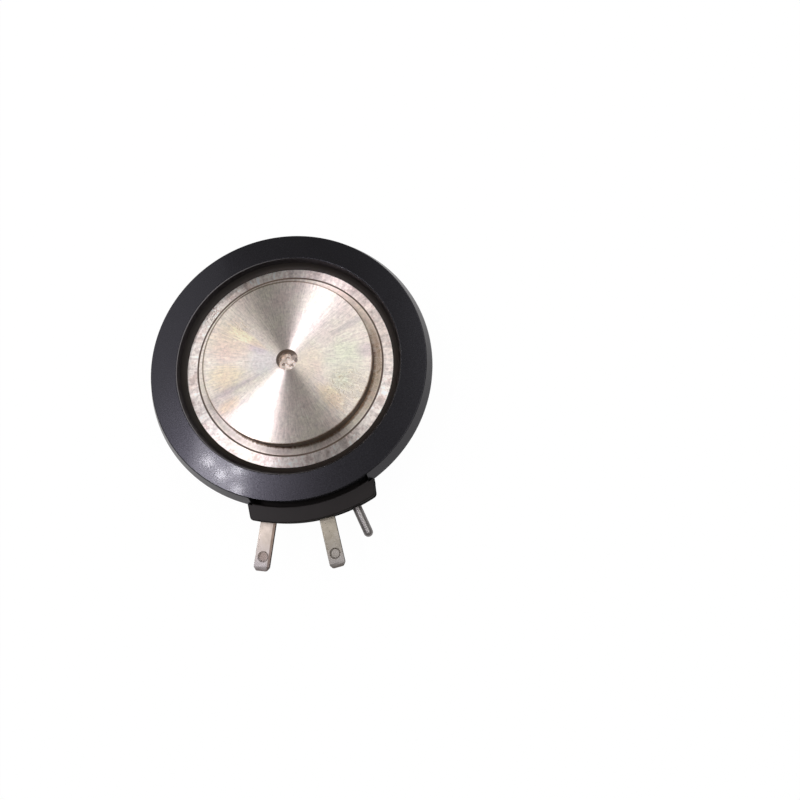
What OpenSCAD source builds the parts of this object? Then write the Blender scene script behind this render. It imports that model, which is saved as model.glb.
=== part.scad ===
// Disc thyristor with a moulded plastic case, pressure contacts and side terminals.
// Millimetres. The origin is the middle of the lower (anode) contact face, +Z runs along the
// disc's axis to the cathode face, and -Y runs to the middle of the terminal block.

/* [Overall] */
// Height from the anode contact face to the cathode contact face
total_h = 14; // [13.5:0.5:20]
// Diameter of each contact face
pole_d = 34.2; // [30:0.2:35]
// Radial width of the moulded case, from the flange's seat to its rim
case_wall = 7; // [6.6:0.1:9]

/* [Contact poles] */
// Depth of the sunk ledge below a contact face
ledge_drop = 2.75; // [2.2:0.05:3]
// Width of the turned ledge round a pole
ledge_w = 1.85; // [1.2:0.05:2.4]
// Thickness of the pole's foot behind the ledge
foot_t = 1; // [0.9:0.05:1.1]
// Diameter of the centring hole in each contact face
centre_hole_d = 4.2; // [3:0.1:5]
// Depth of the centring hole
centre_hole_depth = 3; // [2:0.1:3]
// Chamfer on the edge of a contact face
face_edge = 0.12; // [0.05:0.01:0.3]
// Extra thickness of the cathode pole over half of what the stack leaves
pole_bias = 0.6; // [0.5:0.05:0.7]

/* [Flanges] */
// Bare width of the flange between the ledge and the sealing bead
band_w = 2.13; // [1.6:0.01:2.4]
// Width of the flange that the sealing bead covers
covered_w = 0.87; // [0.6:0.01:1]
// Thickness of a flange
flange_t = 0.7; // [0.5:0.05:0.8]
// Width of the fine joint line between the ledge and the flange
joint_w = 0.14; // [0.08:0.01:0.2]
// Depth of the fine joint line
joint_depth = 0.25; // [0.1:0.05:0.3]

/* [Case] */
// Distance of the case's flat faces below the contact faces
case_drop = 0.8; // [0.4:0.05:1]
// Radial width of the coved wall between the flange band and the case's flat top
cove_w = 1.62; // [1.3:0.02:1.9]
// Inward lean of the bevelled outer wall
bevel_w = 1.2; // [0.8:0.05:1.6]
// Height of the bevelled outer wall
bevel_h = 2.6; // [2:0.1:2.8]
// Height of the straight rim below the bevel
rim_land = 1; // [0.6:0.1:1.2]
// Chamfer under the rim
rim_chamfer = 0.3; // [0.1:0.05:0.4]
// Step in from the rim to the lower body
rim_step = 2.4; // [2:0.1:2.6]
// Height of the slope from the rim in to the lower body
rim_slope = 0.6; // [0.4:0.05:0.8]
// Chamfer round the lower body
body_chamfer = 1; // [0.5:0.1:1.4]
// Small chamfer on the case's sharp edges
case_edge = 0.15; // [0.05:0.01:0.25]
// Height of the sealing bead on the coved wall
bead_h = 0.65; // [0.4:0.05:0.8]
// Gap between a pole's foot and the case's inner wall
hall_gap = 0.65; // [0.5:0.05:0.8]
// Wall left between the case's inner wall and the pocket for the block's tongue
web_w = 3.5; // [3:0.1:3.8]

/* [Semiconductor stack] */
// Thickness of the anode molybdenum disc
moly_anode_t = 1.8; // [1.4:0.1:2]
// Thickness of the silicon wafer
wafer_t = 0.5; // [0.3:0.05:0.6]
// Thickness of the cathode molybdenum disc
moly_cathode_t = 0.9; // [0.8:0.05:1.2]
// Distance of the wafer's edge inside the contact faces' edge
wafer_inset = 1.1; // [1:0.05:1.6]
// Distance of the cathode molybdenum disc's edge inside the wafer's edge
moly_inset = 1; // [0.8:0.05:1.2]
// Distance of the poles' inner faces' edge inside the wafer's edge
boss_inset = 0.8; // [0.6:0.05:1]
// Slope of the wafer's ground edge, measured along the radius
wafer_bevel = 0.4; // [0.2:0.05:0.5]
// Height of the rubber bead over the wafer's upper face and under its lower face
edge_seal_h = 0.5; // [0.3:0.05:0.6]
// Width of the rubber bead outside the wafer
edge_seal_w = 0.85; // [0.7:0.05:0.95]
// Radial gap between the centring ring and the case's inner wall
ring_gap = 0.9; // [0.7:0.05:1]
// Radius of the gate opening in the cathode molybdenum disc
gate_opening_r = 2.6; // [1.6:0.1:2.8]

/* [Gate contact] */
// Radius of the gate pocket in the cathode pole
pocket_r = 3; // [2.8:0.1:3.4]
// Depth of the gate pocket
pocket_depth = 2; // [2:0.05:2.2]
// Wall of the insulating cup in the pocket
cup_wall = 0.5; // [0.4:0.05:0.6]
// Radius of the contact pin's nose
nose_r = 0.6; // [0.4:0.05:0.8]
// Radius of the contact pin's head
head_r = 1.7; // [1.5:0.05:1.8]
// Thickness of the contact pin's head
head_t = 0.8; // [0.7:0.05:0.9]
// Thickness of the spring washer's sheet
spring_t = 0.18; // [0.12:0.01:0.25]
// Thickness of the insulating cup's top
cup_top_t = 0.4; // [0.3:0.05:0.45]
// Height of the wires above the cathode pole's inner face
wire_rise = 0.75; // [0.7:0.01:0.8]
// Inner radius of the spring washer
spring_in_r = 0.9; // [0.7:0.05:1]
// Radius of the gate wire
wire_r = 0.3; // [0.2:0.05:0.3]
// Wall of the sleeve on the gate wire
sleeve_wall = 0.22; // [0.15:0.01:0.25]

/* [Terminal block] */
// Width of the terminal block across its parallel ends
block_w = 24.7; // [22:0.1:27]
// Height of the block above the terminals' middle
block_above = 2.3; // [2:0.1:2.3]
// Height of the block below the terminals' middle
block_below = 2.4; // [2:0.1:2.6]
// Distance of the block's outer wall beyond the case's rim
block_out = 2.75; // [1.6:0.05:3]
// Width of the open gap between the case's top edge and the block
block_gap = 0.8; // [0.6:0.05:1]
// Radius of the block's outer corners
block_corner = 0.9; // [0.5:0.1:1.2]
// Taper of the block's ends outside the rim, in degrees
block_taper = 3.5; // [0:0.5:5]
// Depth of the rim's recess behind the case's top edge
notch_depth = 0.05; // [0.02:0.01:0.15]
// Distance of the recess's ends inside the block's ends
notch_inset = 0.9; // [0.6:0.05:1.2]
// Cover of the block's inner wall over the terminals' inner ends
tail_cover = 0.3; // [0.2:0.05:0.5]
// Chamfer along the block's upper and lower edges
block_edge = 0.45; // [0.1:0.05:0.6]
// Height of the tongue that plugs into the case
tongue_h = 2.2; // [1.8:0.1:2.4]
// Width of the tongue that plugs into the case
tongue_w = 19; // [18:0.2:19.6]

/* [Terminals] */
// Width of a flat tab
tab_w = 3; // [2.4:0.1:3.2]
// Thickness of a flat tab
tab_t = 0.8; // [0.6:0.05:1]
// Length of the cathode tab outside the block
cathode_tab_len = 9.05; // [7:0.05:10]
// Length of the gate tab outside the block
gate_tab_len = 9.5; // [7:0.05:10]
// Length of the bevel at a tab's tip
tab_tip = 0.9; // [0.5:0.05:1.2]
// Diameter of the round dimple in a tab
dimple_d = 2.1; // [1.2:0.05:2.2]
// Distance of the dimple's middle from the tip
dimple_back = 2.65; // [2.4:0.05:3.4]
// Depth of the dimple
dimple_depth = 0.25; // [0.1:0.01:0.3]
// Angle of the cathode tab from the block's middle
cathode_tab_a = -17.1; // [-19:0.1:-15]
// Angle of the gate tab from the block's middle
gate_tab_a = 3.7; // [0:0.1:4]
// Diameter of the round locating pin
loc_pin_d = 1.8; // [1.5:0.05:2]
// Width of the pin's square shank, which is held in the block
pin_shank_w = 1; // [0.8:0.05:1.05]
// Length of the shank left free in front of the block
pin_neck = 0.1; // [0.05:0.05:0.2]
// Length of the round locating pin outside the block
loc_pin_len = 6.25; // [4:0.05:7]
// Angle of the round locating pin from the block's middle
loc_pin_a = 14.7; // [13:0.1:16]

/* [Fits] */
// Radial clearance round the stack's discs
stack_clear = 0.1; // [0.05:0.01:0.15]
// Clearance round the sleeve in the pole's slot
slot_clear = 0.25; // [0.15:0.05:0.3]
// Radial clearance of the insulating cup in its pocket
cup_clear = 0.05; // [0.02:0.01:0.08]
// Radial clearance of the wire in its sleeve
sleeve_clear = 0.02; // [0.01:0.01:0.04]
// Clearance of the block's tongue in the case
tongue_clear = 0.08; // [0.05:0.01:0.15]
// Clearance between the rim and the block's ends
rim_clear = 0.05; // [0.02:0.01:0.1]
// Clearance between the rim's underside and the block's lower part
low_clear = 0.1; // [0.05:0.01:0.2]
// Clearance between the block's inner wall and the recess's ends
notch_clear = 0.1; // [0.05:0.01:0.2]
// Radial clearance of the flange in its seat
seat_clear = 0.05; // [0.02:0.01:0.1]
// Radial clearance of the wires' ways through the case
way_clear = 0.08; // [0.05:0.01:0.12]

/* [Hidden] */
// facets of a large circle
big_fn = 180;
// facets of a small circle
fine_fn = 48;
// a little more than nothing, for cuts that must run past a face
eps = 0.01;

pole_r = pole_d / 2;
ledge_r = pole_r + ledge_w;
band_r = ledge_r + band_w;
flange_r = band_r + covered_w;
seat_r = flange_r + seat_clear;
hall_r = ledge_r + hall_gap;

stack_t = moly_anode_t + wafer_t + moly_cathode_t;
anode_top_z = (total_h - stack_t) / 2 - pole_bias;
wafer_z = anode_top_z + moly_anode_t;
moly_top_z = wafer_z + wafer_t;
cathode_base_z = moly_top_z + moly_cathode_t;

ledge_z = total_h - ledge_drop;
shelf_z = ledge_z - flange_t;
foot_z = ledge_z - foot_t;

case_top_z = total_h - case_drop;
rim_r = seat_r + case_wall;
top_out_r = rim_r - bevel_w;
top_in_r = band_r + cove_w;
rim_z = case_top_z - bevel_h;
rim_low_z = rim_z - rim_land;
body_r = rim_r - rim_step;
body_top_z = rim_low_z - rim_slope;

wafer_r = pole_r - wafer_inset;
moly_r = wafer_r - moly_inset;
boss_r = wafer_r - boss_inset;
edge_seal_r = wafer_r + edge_seal_w;
seal_low_z = wafer_z - edge_seal_h;
ring_in_r = wafer_r + stack_clear;
ring_wide_r = edge_seal_r + stack_clear;
ring_out_r = hall_r - ring_gap;
ring_step_z = seal_low_z - stack_clear;

wire_z = cathode_base_z + wire_rise;
sleeve_in_r = wire_r + sleeve_clear;
sleeve_r = sleeve_in_r + sleeve_wall;
slot_w = 2 * (sleeve_r + slot_clear);
slot_top_z = wire_z + sleeve_r + slot_clear;
way_r = sleeve_r + way_clear;
sleeve_start_r = pocket_r + slot_clear;

pocket_top_z = cathode_base_z + pocket_depth;
cup_r = pocket_r - cup_clear;
cup_in_r = cup_r - cup_wall;
head_z = wire_z - head_t / 2;
spring_z = head_z + head_t;
spring_h = pocket_top_z - cup_top_t - spring_z;

tongue_end_r = hall_r + web_w;
block_low_in_r = body_r;
block_in_r = top_out_r + block_gap;
block_r = rim_r + block_out;
block_z = wire_z - block_below;
block_top_z = wire_z + block_above;
block_end_y = sqrt(pow(rim_r, 2) - pow(block_w / 2, 2));
notch_r = top_out_r - notch_depth;
notch_w = block_w - 2 * notch_inset;
tail_r = block_in_r + tail_cover;
post_r = (hall_r + seat_r) / 2;
bend_r = 2 * wire_r;
cathode_tip_r = block_r + cathode_tab_len;
gate_tip_r = block_r + gate_tab_len;

// Turns a child that runs out along -Y by an angle to the side.
module at_angle(a) {
  rotate([0, 0, a])
    children();
}

// Lays a child that is drawn along +Z out along -Y at the wires' height.
module along_radius(start_r) {
  translate([0, -start_r, wire_z])
    rotate([90, 0, 0])
      children();
}

// Mirrors a child of the cathode side to the anode side.
module anode_side() {
  translate([0, 0, total_h])
    mirror([0, 0, 1])
      children();
}

// Half section of the moulded case, from the inner wall round its outer faces.
module case_section() {
  low_ledge_z = total_h - ledge_z;
  low_shelf_z = total_h - shelf_z;
  polygon([
    [hall_r, low_shelf_z],
    [hall_r, shelf_z],
    [seat_r, shelf_z],
    [seat_r, ledge_z],
    [top_in_r - case_edge * 0.4, case_top_z - case_edge],
    [top_in_r + case_edge * 0.6, case_top_z],
    [top_out_r - case_edge, case_top_z],
    [top_out_r + case_edge * 0.3, case_top_z - case_edge * 0.8],
    [rim_r, rim_z],
    [rim_r, rim_low_z],
    [rim_r - rim_chamfer, rim_low_z - rim_chamfer * 0.8],
    [body_r, body_top_z],
    [body_r, case_drop + body_chamfer],
    [body_r - body_chamfer, case_drop],
    [top_in_r + case_edge * 0.6, case_drop],
    [top_in_r - case_edge * 0.4, case_drop + case_edge],
    [seat_r, low_ledge_z],
    [seat_r, low_shelf_z]
  ]);
}

// Plan of the block between two radii; its ends are parallel up to the rim and taper beyond it.
module block_plan(inner_r, outer_r, w, taper = 0) {
  run = outer_r + 1 - block_end_y;
  intersection() {
    difference() {
      circle(r = outer_r, $fn = big_fn);
      circle(r = inner_r, $fn = big_fn);
    }
    polygon([
      [-w / 2, -inner_r * 0.55],
      [-w / 2, -block_end_y],
      [run * tan(taper) - w / 2, -outer_r - 1],
      [w / 2 - run * tan(taper), -outer_r - 1],
      [w / 2, -block_end_y],
      [w / 2, -inner_r * 0.55]
    ]);
  }
}

// The same plan with its two outer corners rounded. A corner's middle lies a corner radius
// inside both the outer arc and the tapered end.
module rounded_plan(inner_r, outer_r, w, corner, taper) {
  lean = tan(taper);
  reach = w / 2 + block_end_y * lean - corner / cos(taper);
  gap = (1 + pow(lean, 2)) * (pow(reach, 2) - pow(outer_r - corner, 2));
  mid_y = (reach * lean + sqrt(pow(reach * lean, 2) - gap)) / (1 + pow(lean, 2));
  mid_x = reach - mid_y * lean;
  difference() {
    block_plan(inner_r, outer_r, w, taper);
    for (side = [-1, 1])
      polygon([
        [side * mid_x, -mid_y],
        [side * mid_x * 1.5, -mid_y * 1.5],
        [side * (mid_x + w), -mid_y * 1.5],
        [side * (mid_x + w * cos(taper)), -mid_y - w * sin(taper)]
      ]);
  }
  for (side = [-1, 1])
    translate([side * mid_x, -mid_y])
      circle(r = corner, $fn = fine_fn);
}

module housing_ring() {
  color("#3b3a3c")
    difference() {
      rotate_extrude($fn = big_fn)
        case_section();
      // recess in the rim behind the block's inner wall
      difference() {
        translate([-notch_w / 2, -rim_r - 2, block_z])
          cube([notch_w, rim_r, case_top_z + 1 - block_z]);
        cylinder(r = notch_r, h = 2 * total_h, $fn = big_fn);
      }
      // pocket for the block's tongue
      translate([0, 0, wire_z - tongue_h / 2 - tongue_clear])
        linear_extrude(tongue_h + 2 * tongue_clear)
          block_plan(tongue_end_r - tongue_clear, rim_r + 1, tongue_w + 2 * tongue_clear);
      // ways for the two wires
      at_angle(gate_tab_a)
        along_radius(hall_r - way_r)
          cylinder(r = way_r, h = tongue_end_r - hall_r + 2 * way_r, $fn = fine_fn);
      at_angle(cathode_tab_a)
        along_radius(hall_r - way_r)
          cylinder(r = way_r, h = tongue_end_r - hall_r + 2 * way_r, $fn = fine_fn);
      // open shaft under the flange for the cathode wire
      at_angle(cathode_tab_a)
        translate([-way_r, -post_r - way_r, wire_z])
          cube([2 * way_r, post_r - hall_r + 2 * way_r, shelf_z - wire_z + eps]);
    }
}

module terminal_block() {
  color("#413f40")
    difference() {
      union() {
        // upper part, inside the rim's recess but for its ends, which stay outside the rim
        intersection() {
          translate([0, 0, block_z])
            linear_extrude(block_top_z - block_z)
              difference() {
                rounded_plan(block_in_r, block_r, block_w, block_corner, block_taper);
                difference() {
                  circle(r = rim_r + rim_clear, $fn = big_fn);
                  translate([notch_clear - notch_w / 2, -rim_r - 1])
                    square([notch_w - 2 * notch_clear, rim_r]);
                }
              }
          block_form();
        }
        // lower part, under the rim and close to the case's body
        intersection() {
          translate([0, 0, block_z])
            linear_extrude(body_top_z - low_clear - block_z)
              block_plan(block_low_in_r, block_r - block_corner, block_w, block_taper);
          block_form();
        }
        // tongue in the case's pocket
        translate([0, 0, wire_z - tongue_h / 2])
          linear_extrude(tongue_h)
            block_plan(tongue_end_r, block_r - 1, tongue_w);
      }
      at_angle(gate_tab_a)
        terminal_room();
      at_angle(gate_tab_a)
        along_radius(tongue_end_r - sleeve_r)
          cylinder(r = sleeve_r, h = 2 * sleeve_r, $fn = fine_fn);
      at_angle(cathode_tab_a)
        terminal_room();
      at_angle(loc_pin_a)
        along_radius(tail_r)
          square_shank(block_r - tail_r + 1);
    }
}

// Outer form of the block with its upper and lower edges broken: a turned form for its long
// walls and a bar for its ends.
module block_form() {
  edge_w = block_w / 2 - block_edge;
  intersection() {
    rotate_extrude($fn = big_fn)
      polygon([
        [block_low_in_r - 1, block_z],
        [block_r - block_edge, block_z],
        [block_r, block_z + block_edge],
        [block_r, block_top_z - block_edge],
        [block_r - block_edge, block_top_z],
        [block_in_r + block_edge / 2, block_top_z],
        [block_in_r, block_top_z - block_edge],
        [block_low_in_r - 1, block_top_z - block_edge]
      ]);
    rotate([90, 0, 0])
      linear_extrude(block_r + 1)
        polygon([
          [-edge_w, block_z],
          [edge_w, block_z],
          [block_w / 2, block_z + block_edge],
          [block_w / 2, block_top_z - block_edge],
          [edge_w, block_top_z],
          [-edge_w, block_top_z],
          [-block_w / 2, block_top_z - block_edge],
          [-block_w / 2, block_z + block_edge]
        ]);
  }
}

// Space that a flat terminal and its wire take up in the block.
module terminal_room() {
  translate([-tab_w / 2, -block_r - 1, wire_z - tab_t / 2])
    cube([tab_w, block_r + 1 - tail_r, tab_t]);
  along_radius(tongue_end_r - 1)
    cylinder(r = wire_r, h = tail_r - tongue_end_r + 1 + eps, $fn = fine_fn);
}

// A pole without its inner end: contact face, side, ledge and foot.
module pole_outer(base_z) {
  difference() {
    rotate_extrude($fn = big_fn)
      polygon([
        [0, base_z],
        [boss_r, base_z],
        [boss_r, foot_z],
        [ledge_r, foot_z],
        [ledge_r, ledge_z - joint_depth],
        [ledge_r - joint_w / 2, ledge_z],
        [pole_r, ledge_z],
        [pole_r, total_h - face_edge],
        [pole_r - face_edge, total_h],
        [0, total_h]
      ]);
    translate([0, 0, total_h - centre_hole_depth])
      cylinder(d = centre_hole_d, h = centre_hole_depth + 1, $fn = fine_fn);
  }
}

module cathode_pole() {
  color("#c9c3bd")
    difference() {
      pole_outer(cathode_base_z);
      translate([0, 0, cathode_base_z - 1])
        cylinder(r = pocket_r, h = pocket_depth + 1, $fn = fine_fn);
      at_angle(gate_tab_a)
        translate([-slot_w / 2, -boss_r - 1, cathode_base_z - 1])
          cube([slot_w, boss_r + 1, slot_top_z - cathode_base_z + 1]);
    }
}

module anode_pole() {
  color("#c9c3bd")
    anode_side()
      pole_outer(total_h - anode_top_z);
}

module flange() {
  rotate_extrude($fn = big_fn)
    polygon([
      [ledge_r, shelf_z],
      [flange_r, shelf_z],
      [flange_r, ledge_z],
      [ledge_r + joint_w / 2, ledge_z],
      [ledge_r, ledge_z - joint_depth]
    ]);
}

module cathode_flange() {
  color("#d6d2cc")
    flange();
}

module anode_flange() {
  color("#d6d2cc")
    anode_side()
      flange();
}

// Hollow-faced bead of sealant in the corner between the flange and the case's cove.
module bead() {
  cove_h = case_top_z - case_edge - ledge_z;
  lean = (top_in_r - case_edge * 0.4 - seat_r) / cove_h;
  foot_w = seat_r - band_r;
  rotate_extrude($fn = big_fn)
    polygon([
      [band_r, ledge_z],
      [seat_r, ledge_z],
      [seat_r + lean * bead_h, ledge_z + bead_h],
      [band_r + foot_w * 0.78, ledge_z + bead_h * 0.42],
      [band_r + foot_w * 0.42, ledge_z + bead_h * 0.16]
    ]);
}

module cathode_seal() {
  color("#5b5048")
    bead();
}

module anode_seal() {
  color("#5b5048")
    anode_side()
      bead();
}

module silicon_wafer() {
  color("#6d7078")
    rotate_extrude($fn = big_fn)
      polygon([
        [0, wafer_z],
        [wafer_r, wafer_z],
        [wafer_r - wafer_bevel, moly_top_z],
        [0, moly_top_z]
      ]);
}

module anode_molybdenum_disc() {
  color("#8e9093")
    translate([0, 0, anode_top_z])
      cylinder(r = wafer_r, h = moly_anode_t, $fn = big_fn);
}

module cathode_molybdenum_disc() {
  color("#8e9093")
    difference() {
      translate([0, 0, moly_top_z])
        cylinder(r = moly_r, h = moly_cathode_t, $fn = big_fn);
      translate([0, 0, moly_top_z - 1])
        cylinder(r = gate_opening_r, h = moly_cathode_t + 2, $fn = fine_fn);
    }
}

module wafer_edge_seal() {
  color("#b9b4a8")
    rotate_extrude($fn = big_fn)
      polygon([
        [wafer_r, seal_low_z],
        [edge_seal_r - edge_seal_w * 0.25, seal_low_z],
        [edge_seal_r, wafer_z - edge_seal_h * 0.4],
        [edge_seal_r, moly_top_z],
        [edge_seal_r - edge_seal_w * 0.5, moly_top_z + edge_seal_h],
        [wafer_r - wafer_bevel * 1.25, moly_top_z + edge_seal_h],
        [wafer_r - wafer_bevel * 1.75, moly_top_z],
        [wafer_r - wafer_bevel, moly_top_z],
        [wafer_r, wafer_z]
      ]);
}

module centring_ring() {
  color("#e4e0d6")
    difference() {
      rotate_extrude($fn = big_fn)
        polygon([
          [ring_in_r, total_h - foot_z],
          [ring_out_r, total_h - foot_z],
          [ring_out_r, foot_z],
          [ring_wide_r, foot_z],
          [ring_wide_r, ring_step_z],
          [ring_in_r, ring_step_z]
        ]);
      at_angle(gate_tab_a)
        translate([-slot_w / 2, -ring_out_r - 1, wire_z - sleeve_r - slot_clear])
          cube([slot_w, ring_out_r + 1 - boss_r, foot_z - wire_z + sleeve_r + slot_clear + 1]);
    }
}

module gate_contact_pin() {
  color("#d8c894")
    difference() {
      union() {
        translate([0, 0, moly_top_z])
          cylinder(r = nose_r, h = head_z - moly_top_z + eps, $fn = fine_fn);
        translate([0, 0, head_z])
          cylinder(r = head_r, h = head_t, $fn = fine_fn);
      }
      at_angle(gate_tab_a)
        along_radius(nose_r)
          cylinder(r = wire_r, h = head_r, $fn = fine_fn);
    }
}

// A slotted cone washer that presses the contact pin on the wafer.
module gate_spring() {
  in_r = spring_in_r;
  out_r = cup_in_r - stack_clear;
  color("#b6b8ba")
    rotate_extrude($fn = fine_fn)
      polygon([
        [in_r, spring_z],
        [in_r + spring_t, spring_z],
        [out_r, spring_z + spring_h - spring_t],
        [out_r, spring_z + spring_h],
        [out_r - spring_t, spring_z + spring_h],
        [in_r, spring_z + spring_t]
      ]);
}

module gate_insulator() {
  color("#ded8c8")
    difference() {
      translate([0, 0, cathode_base_z])
        cylinder(r = cup_r, h = pocket_depth, $fn = fine_fn);
      translate([0, 0, cathode_base_z - 1])
        cylinder(r = cup_in_r, h = pocket_depth + 1 - cup_top_t, $fn = fine_fn);
      at_angle(gate_tab_a)
        translate([-sleeve_r - cup_clear, -pocket_r - 1, cathode_base_z - 1])
          cube([2 * (sleeve_r + cup_clear), pocket_r + 1, wire_rise + sleeve_r + cup_clear + 1]);
    }
}

module gate_lead() {
  color("#c47b4f")
    at_angle(gate_tab_a)
      along_radius(nose_r)
        cylinder(r = wire_r, h = tail_r - nose_r, $fn = fine_fn);
}

module gate_lead_sleeve() {
  color("#e9e6de")
    at_angle(gate_tab_a)
      along_radius(sleeve_start_r)
        difference() {
          cylinder(r = sleeve_r, h = tongue_end_r + sleeve_r - sleeve_start_r, $fn = fine_fn);
          translate([0, 0, -1])
            cylinder(r = sleeve_in_r, h = tongue_end_r + 2, $fn = fine_fn);
        }
}

module cathode_lead() {
  color("#c47b4f")
    at_angle(cathode_tab_a) {
      along_radius(post_r + bend_r)
        cylinder(r = wire_r, h = tail_r - post_r - bend_r, $fn = fine_fn);
      translate([0, -post_r - bend_r, wire_z + bend_r])
        rotate([90, 0, 90])
          rotate([0, 0, -90])
            rotate_extrude(angle = 90, $fn = fine_fn)
              translate([bend_r, 0])
                circle(r = wire_r, $fn = fine_fn);
      translate([0, -post_r, wire_z + bend_r])
        cylinder(r = wire_r, h = shelf_z - wire_z - bend_r, $fn = fine_fn);
    }
}

// Plan of a flat tab with its outer corners cut.
module tab_plan(tip_r) {
  half = tab_w / 2;
  cut = tab_w * 0.16;
  polygon([
    [-half, -tail_r],
    [-half, -tip_r + cut * 1.4],
    [-half + cut, -tip_r],
    [half - cut, -tip_r],
    [half, -tip_r + cut * 1.4],
    [half, -tail_r]
  ]);
}

// Flat push-on tab with a bevelled tip and a round dimple.
module tab(tip_r) {
  slope = atan(tab_t * 0.28 / tab_tip);
  difference() {
    translate([0, 0, wire_z - tab_t / 2])
      linear_extrude(tab_t)
        tab_plan(tip_r);
    for (side = [0, 1])
      translate([0, 0, wire_z])
        mirror([0, 0, side])
          translate([-tab_w, -tip_r, tab_t * 0.22])
            rotate([slope, 0, 0])
              translate([0, -1, 0])
                cube([2 * tab_w, tab_tip + 2, 2]);
    translate([0, -tip_r + dimple_back, wire_z + tab_t / 2 - dimple_depth])
      cylinder(d = dimple_d, h = 1, $fn = fine_fn);
  }
}

module gate_tab() {
  color("#b9b6a6")
    at_angle(gate_tab_a)
      tab(gate_tip_r);
}

module cathode_tab() {
  color("#cfc9c4")
    at_angle(cathode_tab_a)
      tab(cathode_tip_r);
}

// The pin's shank; its flats keep the pin from turning in the moulding.
module square_shank(len) {
  translate([-pin_shank_w / 2, -pin_shank_w / 2, 0])
    cube([pin_shank_w, pin_shank_w, len]);
}

module locating_pin() {
  pin_r = loc_pin_d / 2;
  shank_len = block_r - tail_r + pin_neck;
  full_len = block_r - tail_r + loc_pin_len;
  color("#6f6c69")
    at_angle(loc_pin_a)
      along_radius(tail_r) {
        square_shank(shank_len + pin_r);
        rotate_extrude($fn = fine_fn)
          polygon([
            [0, shank_len],
            [pin_r, shank_len],
            [pin_r, full_len - pin_r],
            [pin_r * 0.9, full_len - pin_r * 0.55],
            [pin_r * 0.65, full_len - pin_r * 0.22],
            [pin_r * 0.3, full_len - pin_r * 0.04],
            [0, full_len]
          ]);
      }
}

housing_ring();
terminal_block();
cathode_pole();
anode_pole();
cathode_flange();
anode_flange();
cathode_seal();
anode_seal();
silicon_wafer();
anode_molybdenum_disc();
cathode_molybdenum_disc();
wafer_edge_seal();
centring_ring();
gate_contact_pin();
gate_spring();
gate_insulator();
gate_lead();
gate_lead_sleeve();
cathode_lead();
gate_tab();
cathode_tab();
locating_pin();
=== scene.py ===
"""Disc thyristor: the visible pieces, their finishes and the studio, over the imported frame."""

import logging
import math
from dataclasses import dataclass, field
from enum import Enum
from typing import Mapping, Optional, Sequence

import bpy
from mathutils import Matrix, Vector


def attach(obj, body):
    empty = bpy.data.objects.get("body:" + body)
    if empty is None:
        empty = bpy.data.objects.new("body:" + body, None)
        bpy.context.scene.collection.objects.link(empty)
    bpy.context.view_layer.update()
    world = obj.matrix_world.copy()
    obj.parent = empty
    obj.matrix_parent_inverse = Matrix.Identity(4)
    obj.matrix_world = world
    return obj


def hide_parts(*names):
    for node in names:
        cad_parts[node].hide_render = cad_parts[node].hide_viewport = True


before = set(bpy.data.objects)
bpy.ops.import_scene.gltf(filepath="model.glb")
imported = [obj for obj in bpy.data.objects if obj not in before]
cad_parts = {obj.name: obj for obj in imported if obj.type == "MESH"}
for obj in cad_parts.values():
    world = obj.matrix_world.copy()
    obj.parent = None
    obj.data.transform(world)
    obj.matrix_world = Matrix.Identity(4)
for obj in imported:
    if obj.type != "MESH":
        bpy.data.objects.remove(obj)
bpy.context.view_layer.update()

MM = 0.001
TURN = 2.0 * math.pi
FRONT = -math.pi / 2.0
LOG = logging.getLogger("thyristor")

Point = tuple[float, float]
Place = tuple[float, float, float]
Material = bpy.types.Material
Socket = bpy.types.NodeSocket


class Side(Enum):
    """The two contact faces of the disc."""

    CATHODE = "cathode"
    ANODE = "anode"


class Plating(Enum):
    """A terminal's tin plating: its colour, its tip's colour, its roughness and how dark its dimple is."""

    BRIGHT = ("#ddd1c5", "#c0bab9", 0.55, 0.9)
    DULL = ("#a8a192", "#a19d98", 0.5, 0.1)


class Cut(Enum):
    """Boolean operations between two solids."""

    AWAY = "DIFFERENCE"
    JOIN = "UNION"


class Coat(Enum):
    """How a colour lies on a surface: it hides what is below, or lets it through."""

    COVER = "MIX"
    STAIN_OR_SHADE = "MULTIPLY"


@dataclass(frozen=True)
class DiscSizes:
    """Sizes in millimetres that several pieces share, as in the part's source."""

    total_h: float = 14.0
    pole_r: float = 17.1
    ledge_r: float = 18.95
    band_r: float = 21.08
    flange_r: float = 21.95
    seat_r: float = 22.0
    hall_r: float = 19.6
    top_in_r: float = 22.7
    top_out_r: float = 27.8
    rim_r: float = 29.0
    body_r: float = 26.6
    ledge_z: float = 11.25
    shelf_z: float = 10.55
    foot_z: float = 10.25
    case_top_z: float = 13.2
    case_low_z: float = 0.8
    rim_z: float = 10.6
    rim_low_z: float = 9.6
    body_top_z: float = 9.0
    wire_z: float = 8.75
    block_z: float = 6.35
    block_top_z: float = 11.05
    block_in_r: float = 28.6
    block_r: float = 31.75
    block_w: float = 24.7
    block_taper: float = math.radians(3.5)
    notch_r: float = 27.75
    notch_w: float = 22.9
    rim_clear: float = 0.01
    notch_clear: float = 0.1
    low_clear: float = 0.1
    joint_w: float = 0.07
    joint_depth: float = 0.25
    tail_r: float = 28.9
    tongue_end_r: float = 23.1
    tongue_w: float = 19.0
    tongue_h: float = 2.2
    fit: float = 0.08
    tab_thick: float = 0.8


SIZES = DiscSizes()


def linear(hex_colour: str) -> tuple[float, float, float, float]:
    """Turns an sRGB hex colour into the linear values that a shader takes.

    Args:
        hex_colour: Colour such as "#3c3b3e".

    Returns:
        Red, green, blue and an alpha of one.
    """
    values = [int(hex_colour[i:i + 2], 16) / 255.0 for i in (1, 3, 5)]
    low = [v / 12.92 if v <= 0.04045 else ((v + 0.055) / 1.055) ** 2.4 for v in values]
    return (low[0], low[1], low[2], 1.0)


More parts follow.
